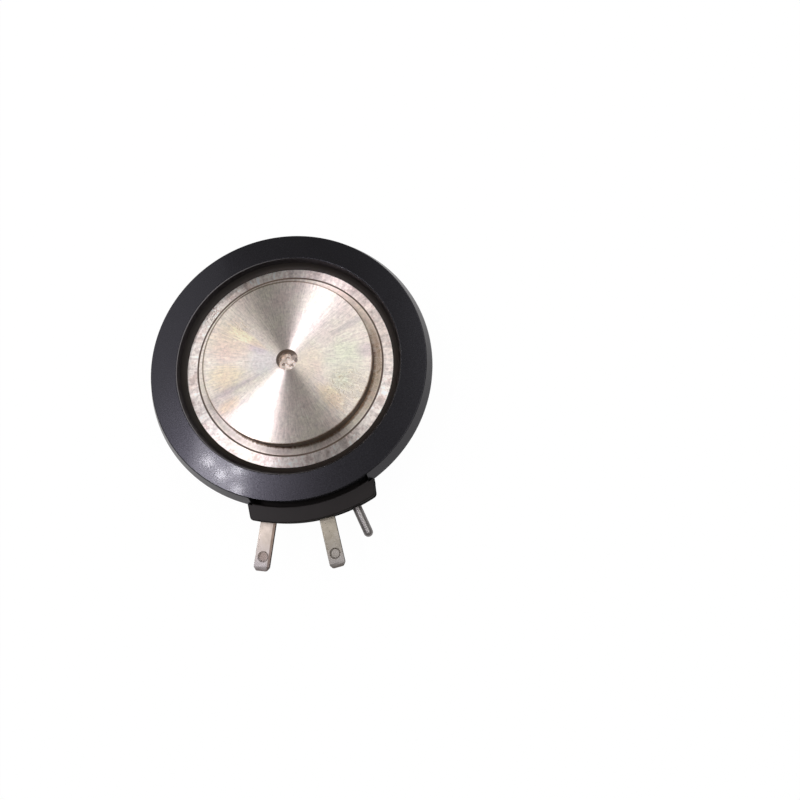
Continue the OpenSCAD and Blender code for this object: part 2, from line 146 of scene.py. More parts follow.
def add_node(
    material: Material,
    kind: str,
    values: Optional[Mapping[object, object]] = None,
    links: Optional[Mapping[object, Socket]] = None,
    out: object = 0,
    stops: Sequence[tuple[float, str]] = (),
    **settings: object,
) -> Optional[Socket]:
    """Adds one node to a material's tree.

    Args:
        material: Material or world whose tree gets the node.
        kind: Node type without its "ShaderNode" prefix.
        values: Input sockets by name or number, with their constants.
        links: Input sockets by name or number, with the outputs that feed them.
        out: Name or number of the output that is wanted.
        stops: Positions and hex colours of a colour ramp, in rising order.
        settings: Properties of the node itself.

    Returns:
        The output asked for, or nothing where the node has none.
    """
    tree = material.node_tree
    made = tree.nodes.new("ShaderNode" + kind)
    for name, value in settings.items():
        setattr(made, name, value)
    for socket, value in (values or {}).items():
        made.inputs[socket].default_value = value
    for socket, source in (links or {}).items():
        tree.links.new(source, made.inputs[socket])
    for _ in stops[2:]:
        made.color_ramp.elements.new(0.5)
    for i, (place, colour) in enumerate(stops):
        made.color_ramp.elements[i].position = place
        made.color_ramp.elements[i].color = linear(colour)
    return made.outputs[out] if made.outputs else None


def new_material(name: str) -> Material:
    """Makes a node material without any nodes."""
    made = bpy.data.materials.new(name)
    made.use_nodes = True
    made.node_tree.nodes.clear()
    return made


def finish_surface(material: Material, values: Mapping[object, object], links: Mapping[object, Socket]) -> Material:
    """Adds the shader and the output to a material.

    Args:
        material: Material to finish.
        values: Constants of the Principled shader.
        links: Outputs that feed the Principled shader.

    Returns:
        The same material.
    """
    add_node(material, "OutputMaterial", links={"Surface": add_node(material, "BsdfPrincipled", values, links)})
    return material


def between(low: float, high: float, first: float = 0.0, last: float = 1.0) -> dict[str, float]:
    """Gives the constants that turn a range of values into another one."""
    return {"From Min": low, "From Max": high, "To Min": first, "To Max": last}


def grain(size_mm: float, detail: float, roughness: float = 0.5) -> dict[str, float]:
    """Gives the constants of a noise whose blobs have a real size in millimetres."""
    return {"Scale": 1.0 / (size_mm * MM), "Detail": detail, "Roughness": roughness}


def from_axis(material: Material, place: Socket) -> tuple[Socket, Socket]:
    """Measures from the disc's axis.

    Args:
        material: Material whose tree gets the nodes.
        place: Object coordinates.

    Returns:
        The place with its height taken out, and its distance from the axis in metres.
    """
    flat = add_node(material, "VectorMath", {1: (1.0, 1.0, 0.0)}, {0: place}, operation="MULTIPLY")
    return flat, add_node(material, "VectorMath", {}, {0: flat}, "Value", operation="LENGTH")


def steep(material: Material) -> Socket:
    """Finds upright walls: one on a wall and zero on a level face."""
    facing = add_node(material, "NewGeometry", out="Normal")
    upright = add_node(material, "SeparateXYZ", {}, {0: facing}, "Z")
    level = add_node(material, "Math", {}, {0: upright}, operation="ABSOLUTE")
    return add_node(material, "MapRange", between(0.2, 0.38, 1.0, 0.0), {"Value": level})


def around(material: Material, radius: Socket, middle: float, width: float) -> Socket:
    """Marks a thin line round an axis.

    Args:
        material: Material whose tree gets the nodes.
        radius: Distance from the axis in metres.
        middle: Radius of the line in millimetres.
        width: Width of the line in millimetres.

    Returns:
        One on the line and zero beside it.
    """
    off = add_node(material, "Math", {1: middle * MM}, {0: radius}, operation="SUBTRACT")
    beside = add_node(material, "Math", {}, {0: off}, operation="ABSOLUTE")
    fade = between(0.3 * width * MM, 0.62 * width * MM, 1.0, 0.0)
    return add_node(material, "MapRange", fade, {"Value": beside}, interpolation_type="SMOOTHSTEP")


def lay_colours(material: Material, tone: Socket, coats: Sequence[tuple[Socket, str, Coat]]) -> Socket:
    """Lays colours over a tone, one after another.

    Args:
        material: Material whose tree gets the nodes.
        tone: Colour below.
        coats: Mask, hex colour and manner of each colour.

    Returns:
        The colour on top.
    """
    for mask, colour, coat in coats:
        tone = add_node(
            material, "MixRGB", {"Color2": linear(colour)}, {"Fac": mask, "Color1": tone}, blend_type=coat.value)
    return tone


def shade(
    material: Material, tone: Socket, low: float, high: float, waves: Sequence[tuple[Socket, float]]
) -> Socket:
    """Makes a tone darker and lighter with one or more noises.

    Args:
        material: Material whose tree gets the nodes.
        tone: Colour that changes.
        low: Noise value of the darkest places.
        high: Noise value of the lightest places.
        waves: Each noise with its share between darkest and lightest.

    Returns:
        The shaded colour.
    """
    for source, depth in waves:
        share = add_node(
            material, "MapRange", between(low, high, 1.0 - depth / 2.0, 1.0 + depth / 2.0), {"Value": source})
        tone = add_node(material, "VectorMath", {}, {0: tone, "Scale": share}, operation="SCALE")
    return tone


@dataclass(frozen=True)
class MouldedPlastic:
    """Glass-filled black PBT, injection moulded: a charcoal with a faint cold sheen and a fine grain."""

    name: str = "moulded_black_pbt"
    colour: str = "#060606"
    light_colour: str = "#0b0b0c"
    # Painted shade: upright walls are drawn near-black.
    wall_shade_colour: str = "#070605"
    sheen_tint: str = "#f1eeff"
    roughness: float = 0.25
    specular: float = 0.385
    skin: float = 0.24
    skin_roughness: float = 0.08
    # A moulded grain of about 0.1 mm is assumed, not measured; too fine to show, it is drawn at 0.34 mm.
    grain_mm: float = 0.34
    grain_height_mm: float = 0.0028
    patch_mm: float = 6.0
    wave_mm: float = 1.4
    wave_height_mm: float = 0.003
    skin_grain: float = 0.18
    seat_colour: str = "#130d0a"
    lip_r: float = 22.66
    lip_w: float = 0.11
    # Painted highlight: a light line along the inner edge's lip, full at the left and fading towards the right.
    lip_highlight_colour: str = "#787679"
    lip_bright_x: float = -12.0
    lip_faint_x: float = 6.0
    brim_w: float = 0.5
    # Painted shade: faces below sunk_z are drawn almost black.
    sunk_z: float = 0.0
    sunk_shade_colour: str = "#020202"

    def material(self) -> Material:
        """Builds the material from the moulding's grain and slow skin patches, with duller walls, painted shade on
        walls and low faces and a painted lip highlight.
        """
        made = new_material(self.name)
        place = add_node(made, "TexCoord", out="Object")
        pebbles = add_node(made, "TexNoise", grain(self.grain_mm, 3.0, 0.6), {"Vector": place})
        patches = add_node(made, "TexNoise", grain(self.patch_mm, 4.0, 0.55), {"Vector": place})
        waves = add_node(made, "TexNoise", grain(self.wave_mm, 1.0), {"Vector": place})
        _, radius = from_axis(made, place)
        leftward = add_node(made, "SeparateXYZ", {}, {0: place}, "X")
        rise = leftward.node.outputs["Z"]
        wall = steep(made)
        brim_r = self.lip_r + 0.1
        inward = add_node(made, "Math", {1: brim_r * MM}, {0: radius}, operation="LESS_THAN")
        seat = add_node(made, "Math", {}, {0: inward, 1: wall}, operation="MULTIPLY")
        # Faces below sunk_z get painted shade and lose the skin's coat.
        sunk = add_node(made, "Math", {1: self.sunk_z * MM}, {0: rise}, operation="LESS_THAN")
        # The painted highlight along the lip is full at the left and faint at the right.
        painted_edge_shading = between(self.lip_bright_x * MM, self.lip_faint_x * MM, 1.0, 0.12)
        painted_edge_shading = add_node(made, "MapRange", painted_edge_shading, {"Value": leftward})
        lip = around(made, radius, self.lip_r, self.lip_w)
        lip = add_node(made, "Math", {}, {0: lip, 1: painted_edge_shading}, operation="MULTIPLY")
        stops = ((0.3, self.colour), (0.75, self.light_colour))
        tone = lay_colours(made, add_node(made, "ValToRGB", {}, {"Fac": patches}, stops=stops), (
            (wall, self.wall_shade_colour, Coat.COVER), (seat, self.seat_colour, Coat.COVER),
            (lip, self.lip_highlight_colour, Coat.COVER), (sunk, self.sunk_shade_colour, Coat.COVER)))
        gloss = between(0.25, 0.75, self.roughness - 0.03, self.roughness + 0.05)
        gloss = add_node(made, "MapRange", gloss, {"Value": pebbles})
        gloss = add_node(made, "Math", {}, {0: gloss, 1: wall}, operation="MAXIMUM")
        height = add_node(made, "Math", {1: self.grain_height_mm}, {0: pebbles}, operation="MULTIPLY")
        height = add_node(made, "Math", {1: self.wave_height_mm}, {0: waves, 2: height}, operation="MULTIPLY_ADD")
        bump = add_node(made, "Bump", {"Strength": 1.0, "Distance": MM}, {"Height": height})
        skin = add_node(made, "Bump", {"Strength": self.skin_grain, "Distance": MM}, {"Height": height})
        dull = around(made, radius, self.lip_r - 0.1, self.brim_w)
        for mask in (sunk, seat):
            dull = add_node(made, "Math", {}, {0: dull, 1: mask}, operation="MAXIMUM")
        bare = add_node(made, "MapRange", between(0.0, 1.0, self.skin, 0.0), {"Value": dull})
        return finish_surface(
            made,
            {"IOR": 1.5, "Specular IOR Level": self.specular, "Specular Tint": linear(self.sheen_tint),
             "Coat Roughness": self.skin_roughness, "Coat IOR": 1.5},
            {"Base Color": tone, "Roughness": gloss, "Normal": bump, "Coat Normal": skin, "Coat Weight": bare})


@dataclass(frozen=True)
class StainOrPaintedLight:
    """A soft patch of colour, for staining or for painted shade and highlights: its bearing and half spread in degrees,
    radius and half length in millimetres, and colour.

    With lines it is drawn as fine wavy scratches instead of a patch.
    """

    bearing: float
    spread: float
    radius: float
    length: float
    colour: str
    strength: float = 1.0
    lines: bool = False
    coat: Coat = Coat.STAIN_OR_SHADE


@dataclass(frozen=True)
class Marks:
    """Tool marks of a lathe: the pitch of the rings, the chatter across them and a fine grain."""

    # A usual turning feed of about 0.1 mm is assumed, not measured; too fine to show, it is drawn at 0.24 mm.
    ring_mm: float = 0.24
    ring_height_mm: float = 0.012
    chatter_step: float = 0.02
    chatter_mm: float = 2.4
    chatter_height_mm: float = 0.0016
    grain_mm: float = 0.22
    grain_height_mm: float = 0.0004

    def relief(self, made: Material, place: Socket) -> tuple[Socket, Socket]:
        """Lays the marks about the disc's axis.

        Args:
            made: Material that gets the marks.
            place: Object coordinates.

        Returns:
            The bumped normal and the chatter's value.
        """
        flat, radius = from_axis(made, place)
        rings = add_node(made, "TexNoise", grain(self.ring_mm, 2.0, 0.7), {"W": radius}, noise_dimensions="1D")
        heading = add_node(made, "VectorMath", {}, {0: flat}, operation="NORMALIZE")
        spread = add_node(made, "VectorMath", {"Scale": 1.0 / self.chatter_step}, {0: heading}, operation="SCALE")
        out = add_node(made, "Math", {1: self.chatter_mm * MM}, {0: radius}, operation="DIVIDE")
        lift = add_node(made, "CombineXYZ", {}, {"Z": out})
        polar = add_node(made, "VectorMath", {}, {0: spread, 1: lift}, operation="ADD")
        chatter = {"Scale": 1.0, "Detail": 3.0, "Roughness": 0.6, "Distortion": 0.6}
        chatter = add_node(made, "TexNoise", chatter, {"Vector": polar})
        pores = add_node(made, "TexNoise", grain(self.grain_mm, 3.0, 0.6), {"Vector": place})
        height = add_node(made, "Math", {1: self.ring_height_mm}, {0: rings}, operation="MULTIPLY")
        for source, share in ((chatter, self.chatter_height_mm), (pores, self.grain_height_mm)):
            height = add_node(made, "Math", {1: share}, {0: source, 2: height}, operation="MULTIPLY_ADD")
        return add_node(made, "Bump", {"Strength": 1.0, "Distance": MM}, {"Height": height}), chatter


@dataclass(frozen=True)
class TurnedNickel:
    """Copper turned on a lathe and nickel plated: warm silver whose rings fan the light out, with staining here and
    there and patches of painted light and shade.
    """

    name: str = "turned_nickel_plate"
    colour: str = "#efe5db"
    pink: str = "#f0e2da"
    yellow: str = "#efe8da"
    mottle_mm: float = 5.0
    # Painted shade: upright walls are drawn dark brown.
    wall_shade_colour: str = "#6b5a4d"
    joint_colour: str = "#6b594c"
    joint_r: float = 18.95
    joint_w: float = 0.4
    # Painted shade: a darker line on the rounded rim of the pole's face.
    brink_shade_colour: str = "#bfb6ac"
    brink_r: float = 17.0
    brink_w: float = 0.24
    bore_colour: str = "#fff0e6"
    bore_wall_colour: str = "#d3c4b9"
    bore_r: float = 2.15
    chip_mm: float = 0.6
    chip_depth_mm: float = 0.4
    roughness: float = 0.333
    anisotropy: float = 1.0
    marks: Marks = Marks()
    speckle_mm: float = 0.5
    speckle: float = 0.36
    streak: float = 0.46
    ragged: float = 1.4
    swirl_mm: float = 3.4
    swirl_lines: float = 16.0
    stains_and_painted_light: tuple[StainOrPaintedLight, ...] = ()

    def stain_and_paint_light(self, made: Material, tone: Socket, place: Socket, chatter: Socket) -> Socket:
        """Lays the staining and the patches of painted shade and highlight over the plating, each with an edge that the
        tool marks break up.

        Args:
            made: Material that gets the stains.
            tone: Colour of the plating.
            place: Object coordinates.
            chatter: Value of the chatter across the tool marks.

        Returns:
            The colour with its staining and its painted shade and highlights.
        """
        flat, radius = from_axis(made, place)
        heading = add_node(made, "VectorMath", {}, {0: flat}, operation="NORMALIZE")
        swirl = add_node(made, "TexNoise", grain(self.swirl_mm, 2.0) | {"Distortion": 1.2}, {"Vector": place})
        steps = add_node(made, "Math", {1: self.swirl_lines}, {0: swirl}, operation="MULTIPLY")
        part = add_node(made, "Math", {1: 0.5}, {0: steps}, operation="PINGPONG")
        scratches = add_node(made, "MapRange", between(0.05, 0.17, 1.0, 0.0), {"Value": part})
        for entry in self.stains_and_painted_light:
            turn, square = math.radians(entry.bearing), 2.0 / math.radians(entry.spread) ** 2
            towards = {1: (math.cos(turn), math.sin(turn), 0.0)}
            close = add_node(made, "VectorMath", towards, {0: heading}, "Value", operation="DOT_PRODUCT")
            beside = add_node(made, "Math", {1: -square, 2: square + 0.5}, {0: close}, operation="MULTIPLY_ADD")
            scale = {1: 1.0 / (entry.length * MM), 2: -entry.radius / entry.length}
            out = add_node(made, "Math", scale, {0: radius}, operation="MULTIPLY_ADD")
            away = add_node(made, "Math", {}, {0: out, 1: out, 2: beside}, operation="MULTIPLY_ADD")
            away = add_node(made, "Math", {1: -self.ragged}, {0: chatter, 2: away}, operation="MULTIPLY_ADD")
            fade = between(-0.2 * self.ragged, 1.6 - 0.4 * self.ragged, entry.strength, 0.0)
            near = add_node(made, "MapRange", fade, {"Value": away}, interpolation_type="SMOOTHSTEP")
            if entry.lines:
                near = add_node(made, "Math", {}, {0: near, 1: scratches}, operation="MULTIPLY")
            tone = lay_colours(made, tone, [(near, entry.colour, entry.coat)])
        return tone

    def drilled(
        self, made: Material, tone: Socket, bump: Socket, place: Socket, bore: Socket, wall: Socket
    ) -> tuple[Socket, Socket]:
        """Gives the centring hole a raw floor with broken chips, drawn lighter and darker at random as painted
        highlights and shade.

        Args:
            made: Material that gets the hole.
            tone: Colour of the face.
            bump: Normal of the face.
            place: Object coordinates.
            bore: Mask of the hole.
            wall: Mask of upright walls.

        Returns:
            The colour and the normal with the hole in them.
        """
        colours = {"Color1": linear(self.bore_colour), "Color2": linear(self.bore_wall_colour)}
        raw = add_node(made, "MixRGB", colours, {"Fac": wall})
        cells = {"Scale": 1.0 / (self.chip_mm * MM), "Randomness": 1.0}
        cells = add_node(made, "TexVoronoi", cells, {"Vector": place}).node.outputs
        # Painted highlight and shade: each chip is drawn lighter or darker at random, the lightest brighter than white.
        chip = add_node(made, "MapRange", between(0.3, 0.7, 0.5, 1.7), {"Value": cells["Color"]})
        raw = add_node(made, "VectorMath", {}, {0: raw, "Scale": chip}, operation="SCALE")
        tone = add_node(made, "MixRGB", {}, {"Fac": bore, "Color1": tone, "Color2": raw})
        facets = add_node(made, "Math", {}, {0: cells["Distance"], 1: bore}, operation="MULTIPLY")
        depth = {"Strength": 1.0, "Distance": self.chip_depth_mm * MM}
        return tone, add_node(made, "Bump", depth, {"Height": facets, "Normal": bump})

    def material(self) -> Material:
        """Builds the material from the tool marks, staining and painted light patches, painted shade on walls and the
        pole's edge, and the dark joint line.
        """
        made = new_material(self.name)
        place = add_node(made, "TexCoord", out="Object")
        _, radius = from_axis(made, place)
        bump, chatter = self.marks.relief(made, place)
        mottle = add_node(made, "TexNoise", grain(self.mottle_mm, 5.0, 0.62), {"Vector": place})
        stops = ((0.36, self.pink), (0.5, self.colour), (0.64, self.yellow))
        tone = add_node(made, "ValToRGB", {}, {"Fac": mottle}, stops=stops)
        tone = self.stain_and_paint_light(made, tone, place, chatter)
        pits = add_node(made, "TexNoise", grain(self.speckle_mm, 2.0, 0.7), {"Vector": place})
        tone = shade(made, tone, 0.25, 0.75, ((pits, self.speckle), (chatter, self.streak)))
        wall = steep(made)
        joint = around(made, radius, self.joint_r, self.joint_w)
        brink = around(made, radius, self.brink_r, self.brink_w)
        tone = lay_colours(made, tone, (
            (wall, self.wall_shade_colour, Coat.COVER), (joint, self.joint_colour, Coat.COVER),
            (brink, self.brink_shade_colour, Coat.STAIN_OR_SHADE)))
        edge = between((self.bore_r - 0.03) * MM, (self.bore_r + 0.03) * MM, 1.0, 0.0)
        bore = add_node(made, "MapRange", edge, {"Value": radius})
        tone, bump = self.drilled(made, tone, bump, place, bore, wall)
        dull = add_node(made, "Math", {}, {0: wall, 1: bore}, operation="SUBTRACT", use_clamp=True)
        dull = add_node(made, "Math", {}, {0: dull, 1: joint}, operation="MAXIMUM")
        dull = add_node(made, "Math", {}, {0: dull, 1: bore}, operation="ADD", use_clamp=True)
        metal = add_node(made, "MapRange", between(0.0, 1.0, 1.0, 0.15), {"Value": dull})
        gloss = between(0.3, 0.7, self.roughness - 0.03, self.roughness + 0.03)
        gloss = add_node(made, "MapRange", gloss, {"Value": chatter})
        return finish_surface(
            made,
            {"Anisotropic": self.anisotropy, "Anisotropic Rotation": 0.25},
            {"Base Color": tone, "Metallic": metal, "Roughness": gloss, "Normal": bump})


@dataclass(frozen=True)
class SealingResin:
    """Cured brown sealing adhesive: satin and slightly uneven in thickness and colour."""

    name: str = "brown_sealing_resin"
    colour: str = "#1b140e"
    light_colour: str = "#2a1f16"
    wallward_colour: str = "#17100b"
    wave_mm: float = 1.8
    wave_height_mm: float = 0.05
    darkening_from_r: float = 21.1
    darkening_to_r: float = 22.0
    roughness: float = 0.5

    def material(self) -> Material:
        """Builds the material from the resin's slow waves, darker towards the case wall."""
        made = new_material(self.name)
        place = add_node(made, "TexCoord", out="Object")
        waves = add_node(made, "TexNoise", grain(self.wave_mm, 3.0), {"Vector": place})
        stops = ((0.3, self.colour), (0.72, self.light_colour))
        tone = add_node(made, "ValToRGB", {}, {"Fac": waves}, stops=stops)
        _, radius = from_axis(made, place)
        # Darker towards the case wall.
        thick = add_node(made, "MapRange", between(self.darkening_from_r * MM, self.darkening_to_r * MM), {"Value": radius})
        tone = lay_colours(made, tone, [(thick, self.wallward_colour, Coat.COVER)])
        depth = {"Strength": 1.0, "Distance": self.wave_height_mm * MM}
        bump = add_node(made, "Bump", depth, {"Height": waves})
        return finish_surface(
            made, {"Roughness": self.roughness, "IOR": 1.5, "Specular IOR Level": 0.3},
            {"Base Color": tone, "Normal": bump})


@dataclass(frozen=True)
class TinnedStrip:
    """Tinned brass strip, stamped: a soft metal gleam with rolling marks along the tab."""

    plating: Plating
    angle: float
    dimple_mm: float
    # Painted shade on the rolled edge starts this far across the tab.
    edge_shade_from_mm: float = 9.0
    name: str = "tinned_brass_strip"
    # Rolling marks of some hundredths of a millimetre are assumed; too fine to show, they are drawn at 0.12 mm.
    mark_mm: float = 0.12
    mark_stretch: float = 12.0
    mark_height_mm: float = 0.003
    cloud_mm: float = 1.4
    drift_mm: float = 7.0
    tip_starts_mm: float = 38.0
    tip_ends_mm: float = 43.5
    far_side_mm: float = 39.7
    # Painted shade: the side walls and the tip's bevels are drawn darker; the dimple's floor is drawn darker too.
    dark_colour: str = "#c2b6b0"
    wall_shade_colour: str = "#8a7d76"
    # Painted shade: a dark ring round the dimple's rim.
    rim_shade_colour: str = "#8f8681"
    line_r: float = 0.97
    line_w: float = 0.15
    # Painted shade: a darker band on the rolled edge.
    edge_shade_colour: str = "#b5aaa3"

    def material(self) -> Material:
        """Builds the material from rolling marks along the tab, a darker dimple and painted shade on its walls, tip
        bevels, dimple rim and rolled edge.
        """
        colour, tip_colour, roughness, hollow = self.plating.value
        made = new_material(f"{self.name}_{self.plating.name.lower()}")
        place = add_node(made, "TexCoord", out="Object")
        turn = {"Rotation": (0.0, 0.0, self.angle), "Scale": (1.0, self.mark_stretch, 1.0)}
        along = add_node(made, "Mapping", turn, {"Vector": place}, vector_type="TEXTURE")
        marks = add_node(made, "TexNoise", grain(self.mark_mm, 3.0, 0.65), {"Vector": along})
        cloud = add_node(made, "TexNoise", grain(self.cloud_mm, 3.0), {"Vector": place})
        flat, reach = from_axis(made, place)
        drift = add_node(made, "Math", {1: self.drift_mm * MM}, {0: cloud, 2: reach}, operation="MULTIPLY_ADD")
        tipward = between(self.tip_starts_mm * MM, self.tip_ends_mm * MM)
        tipward = add_node(made, "MapRange", tipward, {"Value": drift})
        tone = add_node(made, "ValToRGB", {}, {"Fac": tipward}, stops=((0.0, colour), (1.0, tip_colour)))
        rise = add_node(made, "SeparateXYZ", {}, {0: place}, "Z")
        high = (SIZES.wire_z + SIZES.tab_thick / 2.0) * MM
        sunk = add_node(
            made, "MapRange", between(high - 0.24 * MM, high - 0.05 * MM, 0.85, 0.0), {"Value": rise})
        share = between(self.far_side_mm * MM, (self.far_side_mm + 0.15) * MM, hollow, 1.0)
        share = add_node(made, "MapRange", share, {"Value": reach})
        sunk = add_node(made, "Math", {}, {0: sunk, 1: share}, operation="MULTIPLY")
        # Painted shade on the walls and tip bevels, with the dimple's floor darker as well.
        wall = steep(made)
        dark = add_node(made, "Math", {}, {0: sunk, 1: wall}, operation="MAXIMUM")
        middle = (self.dimple_mm * math.sin(self.angle) * MM, -self.dimple_mm * math.cos(self.angle) * MM, 0.0)
        aside = add_node(made, "VectorMath", {1: middle}, {0: flat}, operation="SUBTRACT")
        nearby = add_node(made, "VectorMath", {}, {0: aside}, "Value", operation="LENGTH")
        # Painted shade round the dimple's rim.
        line = around(made, nearby, self.line_r, self.line_w)
        across = add_node(made, "SeparateXYZ", {}, {0: along}, "X")
        # Painted shade on the rolled edge.
        painted_edge_shading = between((self.edge_shade_from_mm - 0.08) * MM, (self.edge_shade_from_mm + 0.08) * MM)
        painted_edge_shading = add_node(made, "MapRange", painted_edge_shading, {"Value": across})
        tone = lay_colours(made, tone, (
            (dark, self.dark_colour, Coat.STAIN_OR_SHADE), (wall, self.wall_shade_colour, Coat.STAIN_OR_SHADE),
            (line, self.rim_shade_colour, Coat.STAIN_OR_SHADE), (painted_edge_shading, self.edge_shade_colour, Coat.STAIN_OR_SHADE)))
        tone = shade(made, tone, 0.3, 0.7, ((cloud, 0.3), (marks, 0.2)))
        gloss = add_node(made, "MapRange", between(0.3, 0.7, roughness - 0.05, roughness + 0.07), {"Value": marks})
        depth = {"Strength": 1.0, "Distance": self.mark_height_mm * MM}
        bump = add_node(made, "Bump", depth, {"Height": marks})
        return finish_surface(made, {"Metallic": 1.0}, {"Base Color": tone, "Roughness": gloss, "Normal": bump})


@dataclass(frozen=True)
class PlainStock:
    """Stock of the pin and of the pieces inside the case, each with a fine grain of its own."""

    name: str
    colour: str
    light_colour: str
    roughness: float
    metallic: float = 0.0
    ior: float = 1.5
    grain_mm: float = 0.2
    grain_height_mm: float = 0.004
    root_r: float = 0.0
    root_fade: float = 1.3
    root_shade_colour: str = "#a7a5a3"

    def material(self) -> Material:
        """Builds the material from one grain that turns colour, gloss and relief, with painted shade near its root if
        it has one.
        """
        made = new_material(self.name)
        place = add_node(made, "TexCoord", out="Object")
        fleck = add_node(made, "TexNoise", grain(self.grain_mm, 3.0, 0.6), {"Vector": place})
        stops = ((0.3, self.colour), (0.7, self.light_colour))
        tone = add_node(made, "ValToRGB", {}, {"Fac": fleck}, stops=stops)
        # Painted shade: darker towards the root, where the block shades the pin.
        if self.root_r:
            _, radius = from_axis(made, place)
            fade = between(self.root_r * MM, (self.root_r + self.root_fade) * MM, 1.0, 0.0)
            root = add_node(made, "MapRange", fade, {"Value": radius})
            tone = lay_colours(made, tone, [(root, self.root_shade_colour, Coat.STAIN_OR_SHADE)])
        gloss = between(0.3, 0.7, self.roughness - 0.05, self.roughness + 0.06)
        gloss = add_node(made, "MapRange", gloss, {"Value": fleck})
        depth = {"Strength": 1.0, "Distance": self.grain_height_mm * MM}
        bump = add_node(made, "Bump", depth, {"Height": fleck})
        values = {"Metallic": self.metallic} if self.metallic else {"Metallic": self.metallic, "IOR": self.ior}
        return finish_surface(made, values, {"Base Color": tone, "Roughness": gloss, "Normal": bump})


# Staining, tints and scratches of the face, with patches of painted shade among them.
FACE_STAINS_AND_PAINTED_LIGHT = (
    StainOrPaintedLight(172.0, 40.0, 4.5, 4.0, "#eef6ff", 0.9),
    StainOrPaintedLight(150.0, 22.0, 12.5, 5.0, "#fff5ef", 0.9),
    StainOrPaintedLight(184.0, 14.0, 12.5, 4.0, "#fffae8", 0.9),
    StainOrPaintedLight(140.0, 7.0, 9.5, 5.5, "#fff2d8", coat=Coat.COVER),
    StainOrPaintedLight(146.0, 12.0, 6.6, 2.6, "#efe8f3", 0.9),
    # Painted shade: a narrow dark streak in the face's reflection.
    StainOrPaintedLight(198.0, 3.5, 11.0, 7.0, "#e2dde6", 0.7),
    StainOrPaintedLight(209.0, 6.0, 14.5, 3.0, "#fff6e4", 0.8),
    StainOrPaintedLight(344.0, 34.0, 11.5, 5.0, "#f5fff8", 0.9),
    StainOrPaintedLight(340.0, 45.0, 4.5, 3.5, "#fffaf5", 0.9),
    # Painted shade: a narrow dark streak in the face's reflection, opposite the other one.
    StainOrPaintedLight(20.0, 3.5, 14.0, 4.5, "#dadadf", 0.7),
    StainOrPaintedLight(356.0, 7.0, 15.6, 2.4, "#eae2ee", 0.8),
    StainOrPaintedLight(322.0, 24.0, 13.0, 4.5, "#d2c4ae", 1.0, True),
    StainOrPaintedLight(133.0, 9.0, 12.0, 3.5, "#dcd5c2", 0.8, True),
    StainOrPaintedLight(309.0, 10.0, 11.5, 4.0, "#fff8e9", 0.8),
    # Painted shadow: the ledge darker beside and beyond the pole's wall on its right, where the wall shades it.
    StainOrPaintedLight(305.0, 80.0, 17.2, 0.55, "#8f7b6c"),
    StainOrPaintedLight(342.0, 38.0, 18.1, 1.1, "#d2c5ba", 0.9),
    StainOrPaintedLight(25.0, 45.0, 18.1, 1.1, "#d8d0ca"),
    # Painted shade: the ledge dimmed under the bright reflected wedge, and darker in the corner at the pole's foot.
    StainOrPaintedLight(235.0, 30.0, 18.1, 1.1, "#aeadac"),
    StainOrPaintedLight(235.0, 40.0, 17.15, 0.4, "#84756a"),
    StainOrPaintedLight(350.0, 30.0, 18.1, 0.9, "#c9beb4", 0.9, True),
)
FLANGE_STAINS_AND_PAINTED_LIGHT = (
    StainOrPaintedLight(30.0, 50.0, 20.2, 2.5, "#dfd9d6", 0.9),
    # Painted shade: the flange dimmed under the bright reflected wedge.
    StainOrPaintedLight(232.0, 18.0, 20.2, 2.6, "#bcbeb8"),
    StainOrPaintedLight(138.0, 9.0, 20.2, 2.5, "#8b7e74", 1.0, True),
    # Painted highlight: the flange lighter at the top, standing for small glints.
    StainOrPaintedLight(96.0, 14.0, 20.2, 2.5, "#fff8f0", 0.9, coat=Coat.COVER),
)


def rounded(corners: Sequence[tuple[float, float, float]], steps: int = 4) -> list[Point]:
    """Rounds the corners of an outline.

    Args:
        corners: First value, second value and rounding radius of each corner.
        steps: Segments in each rounding.

    Returns:
        The outline's points.
    """
    made: list[Point] = []
    for i, (x, y, radius) in enumerate(corners):
        if radius <= 0.0:
            made.append((x, y))
            continue
        here = Vector((x, y))
        before = (Vector(corners[i - 1][:2]) - here).normalized()
        after = (Vector(corners[(i + 1) % len(corners)][:2]) - here).normalized()
        half = math.acos(max(-1.0, min(1.0, before.dot(after)))) / 2.0
        centre = here + (before + after).normalized() * (radius / math.sin(half))
        start = here + before * (radius / math.tan(half)) - centre
        sign = 1.0 if start.x * after.y - start.y * after.x > 0.0 else -1.0
        for k in range(steps + 1):
            a = sign * (math.pi - 2.0 * half) * k / steps
            c, s = math.cos(a), math.sin(a)
            p = centre + Vector((c * start.x - s * start.y, s * start.x + c * start.y))
            made.append((p.x, p.y))
    return made


def arc(radius: float, start: float, end: float, steps: int, centre: Point = (0.0, 0.0)) -> list[Point]:
    """Gives points on an arc.

    Args:
        radius: Radius in millimetres.
        start: First angle in radians.
        end: Last angle in radians.
        steps: Number of segments.
        centre: Centre in millimetres, the disc's axis unless it is given.

    Returns:
        The points, both ends included.
    """
    turn = [start + (end - start) * i / steps for i in range(steps + 1)]
    return [(centre[0] + radius * math.cos(a), centre[1] + radius * math.sin(a)) for a in turn]


def hold(body: bpy.types.Object) -> None:
    """Makes an object the active one and the only one selected."""
    bpy.ops.object.select_all(action="DESELECT")
    body.select_set(True)
    bpy.context.view_layer.objects.active = body


def apply_modifier(body: bpy.types.Object, kind: str, **settings: object) -> None:
    """Adds one modifier to an object and applies it.

    Args:
        body: Object to change.
        kind: Blender's name of the modifier.
        settings: Properties of the modifier.
    """
    hold(body)
    change = body.modifiers.new(kind.lower(), kind)
    for name, value in settings.items():
        setattr(change, name, value)
    bpy.ops.object.modifier_apply(modifier=change.name)


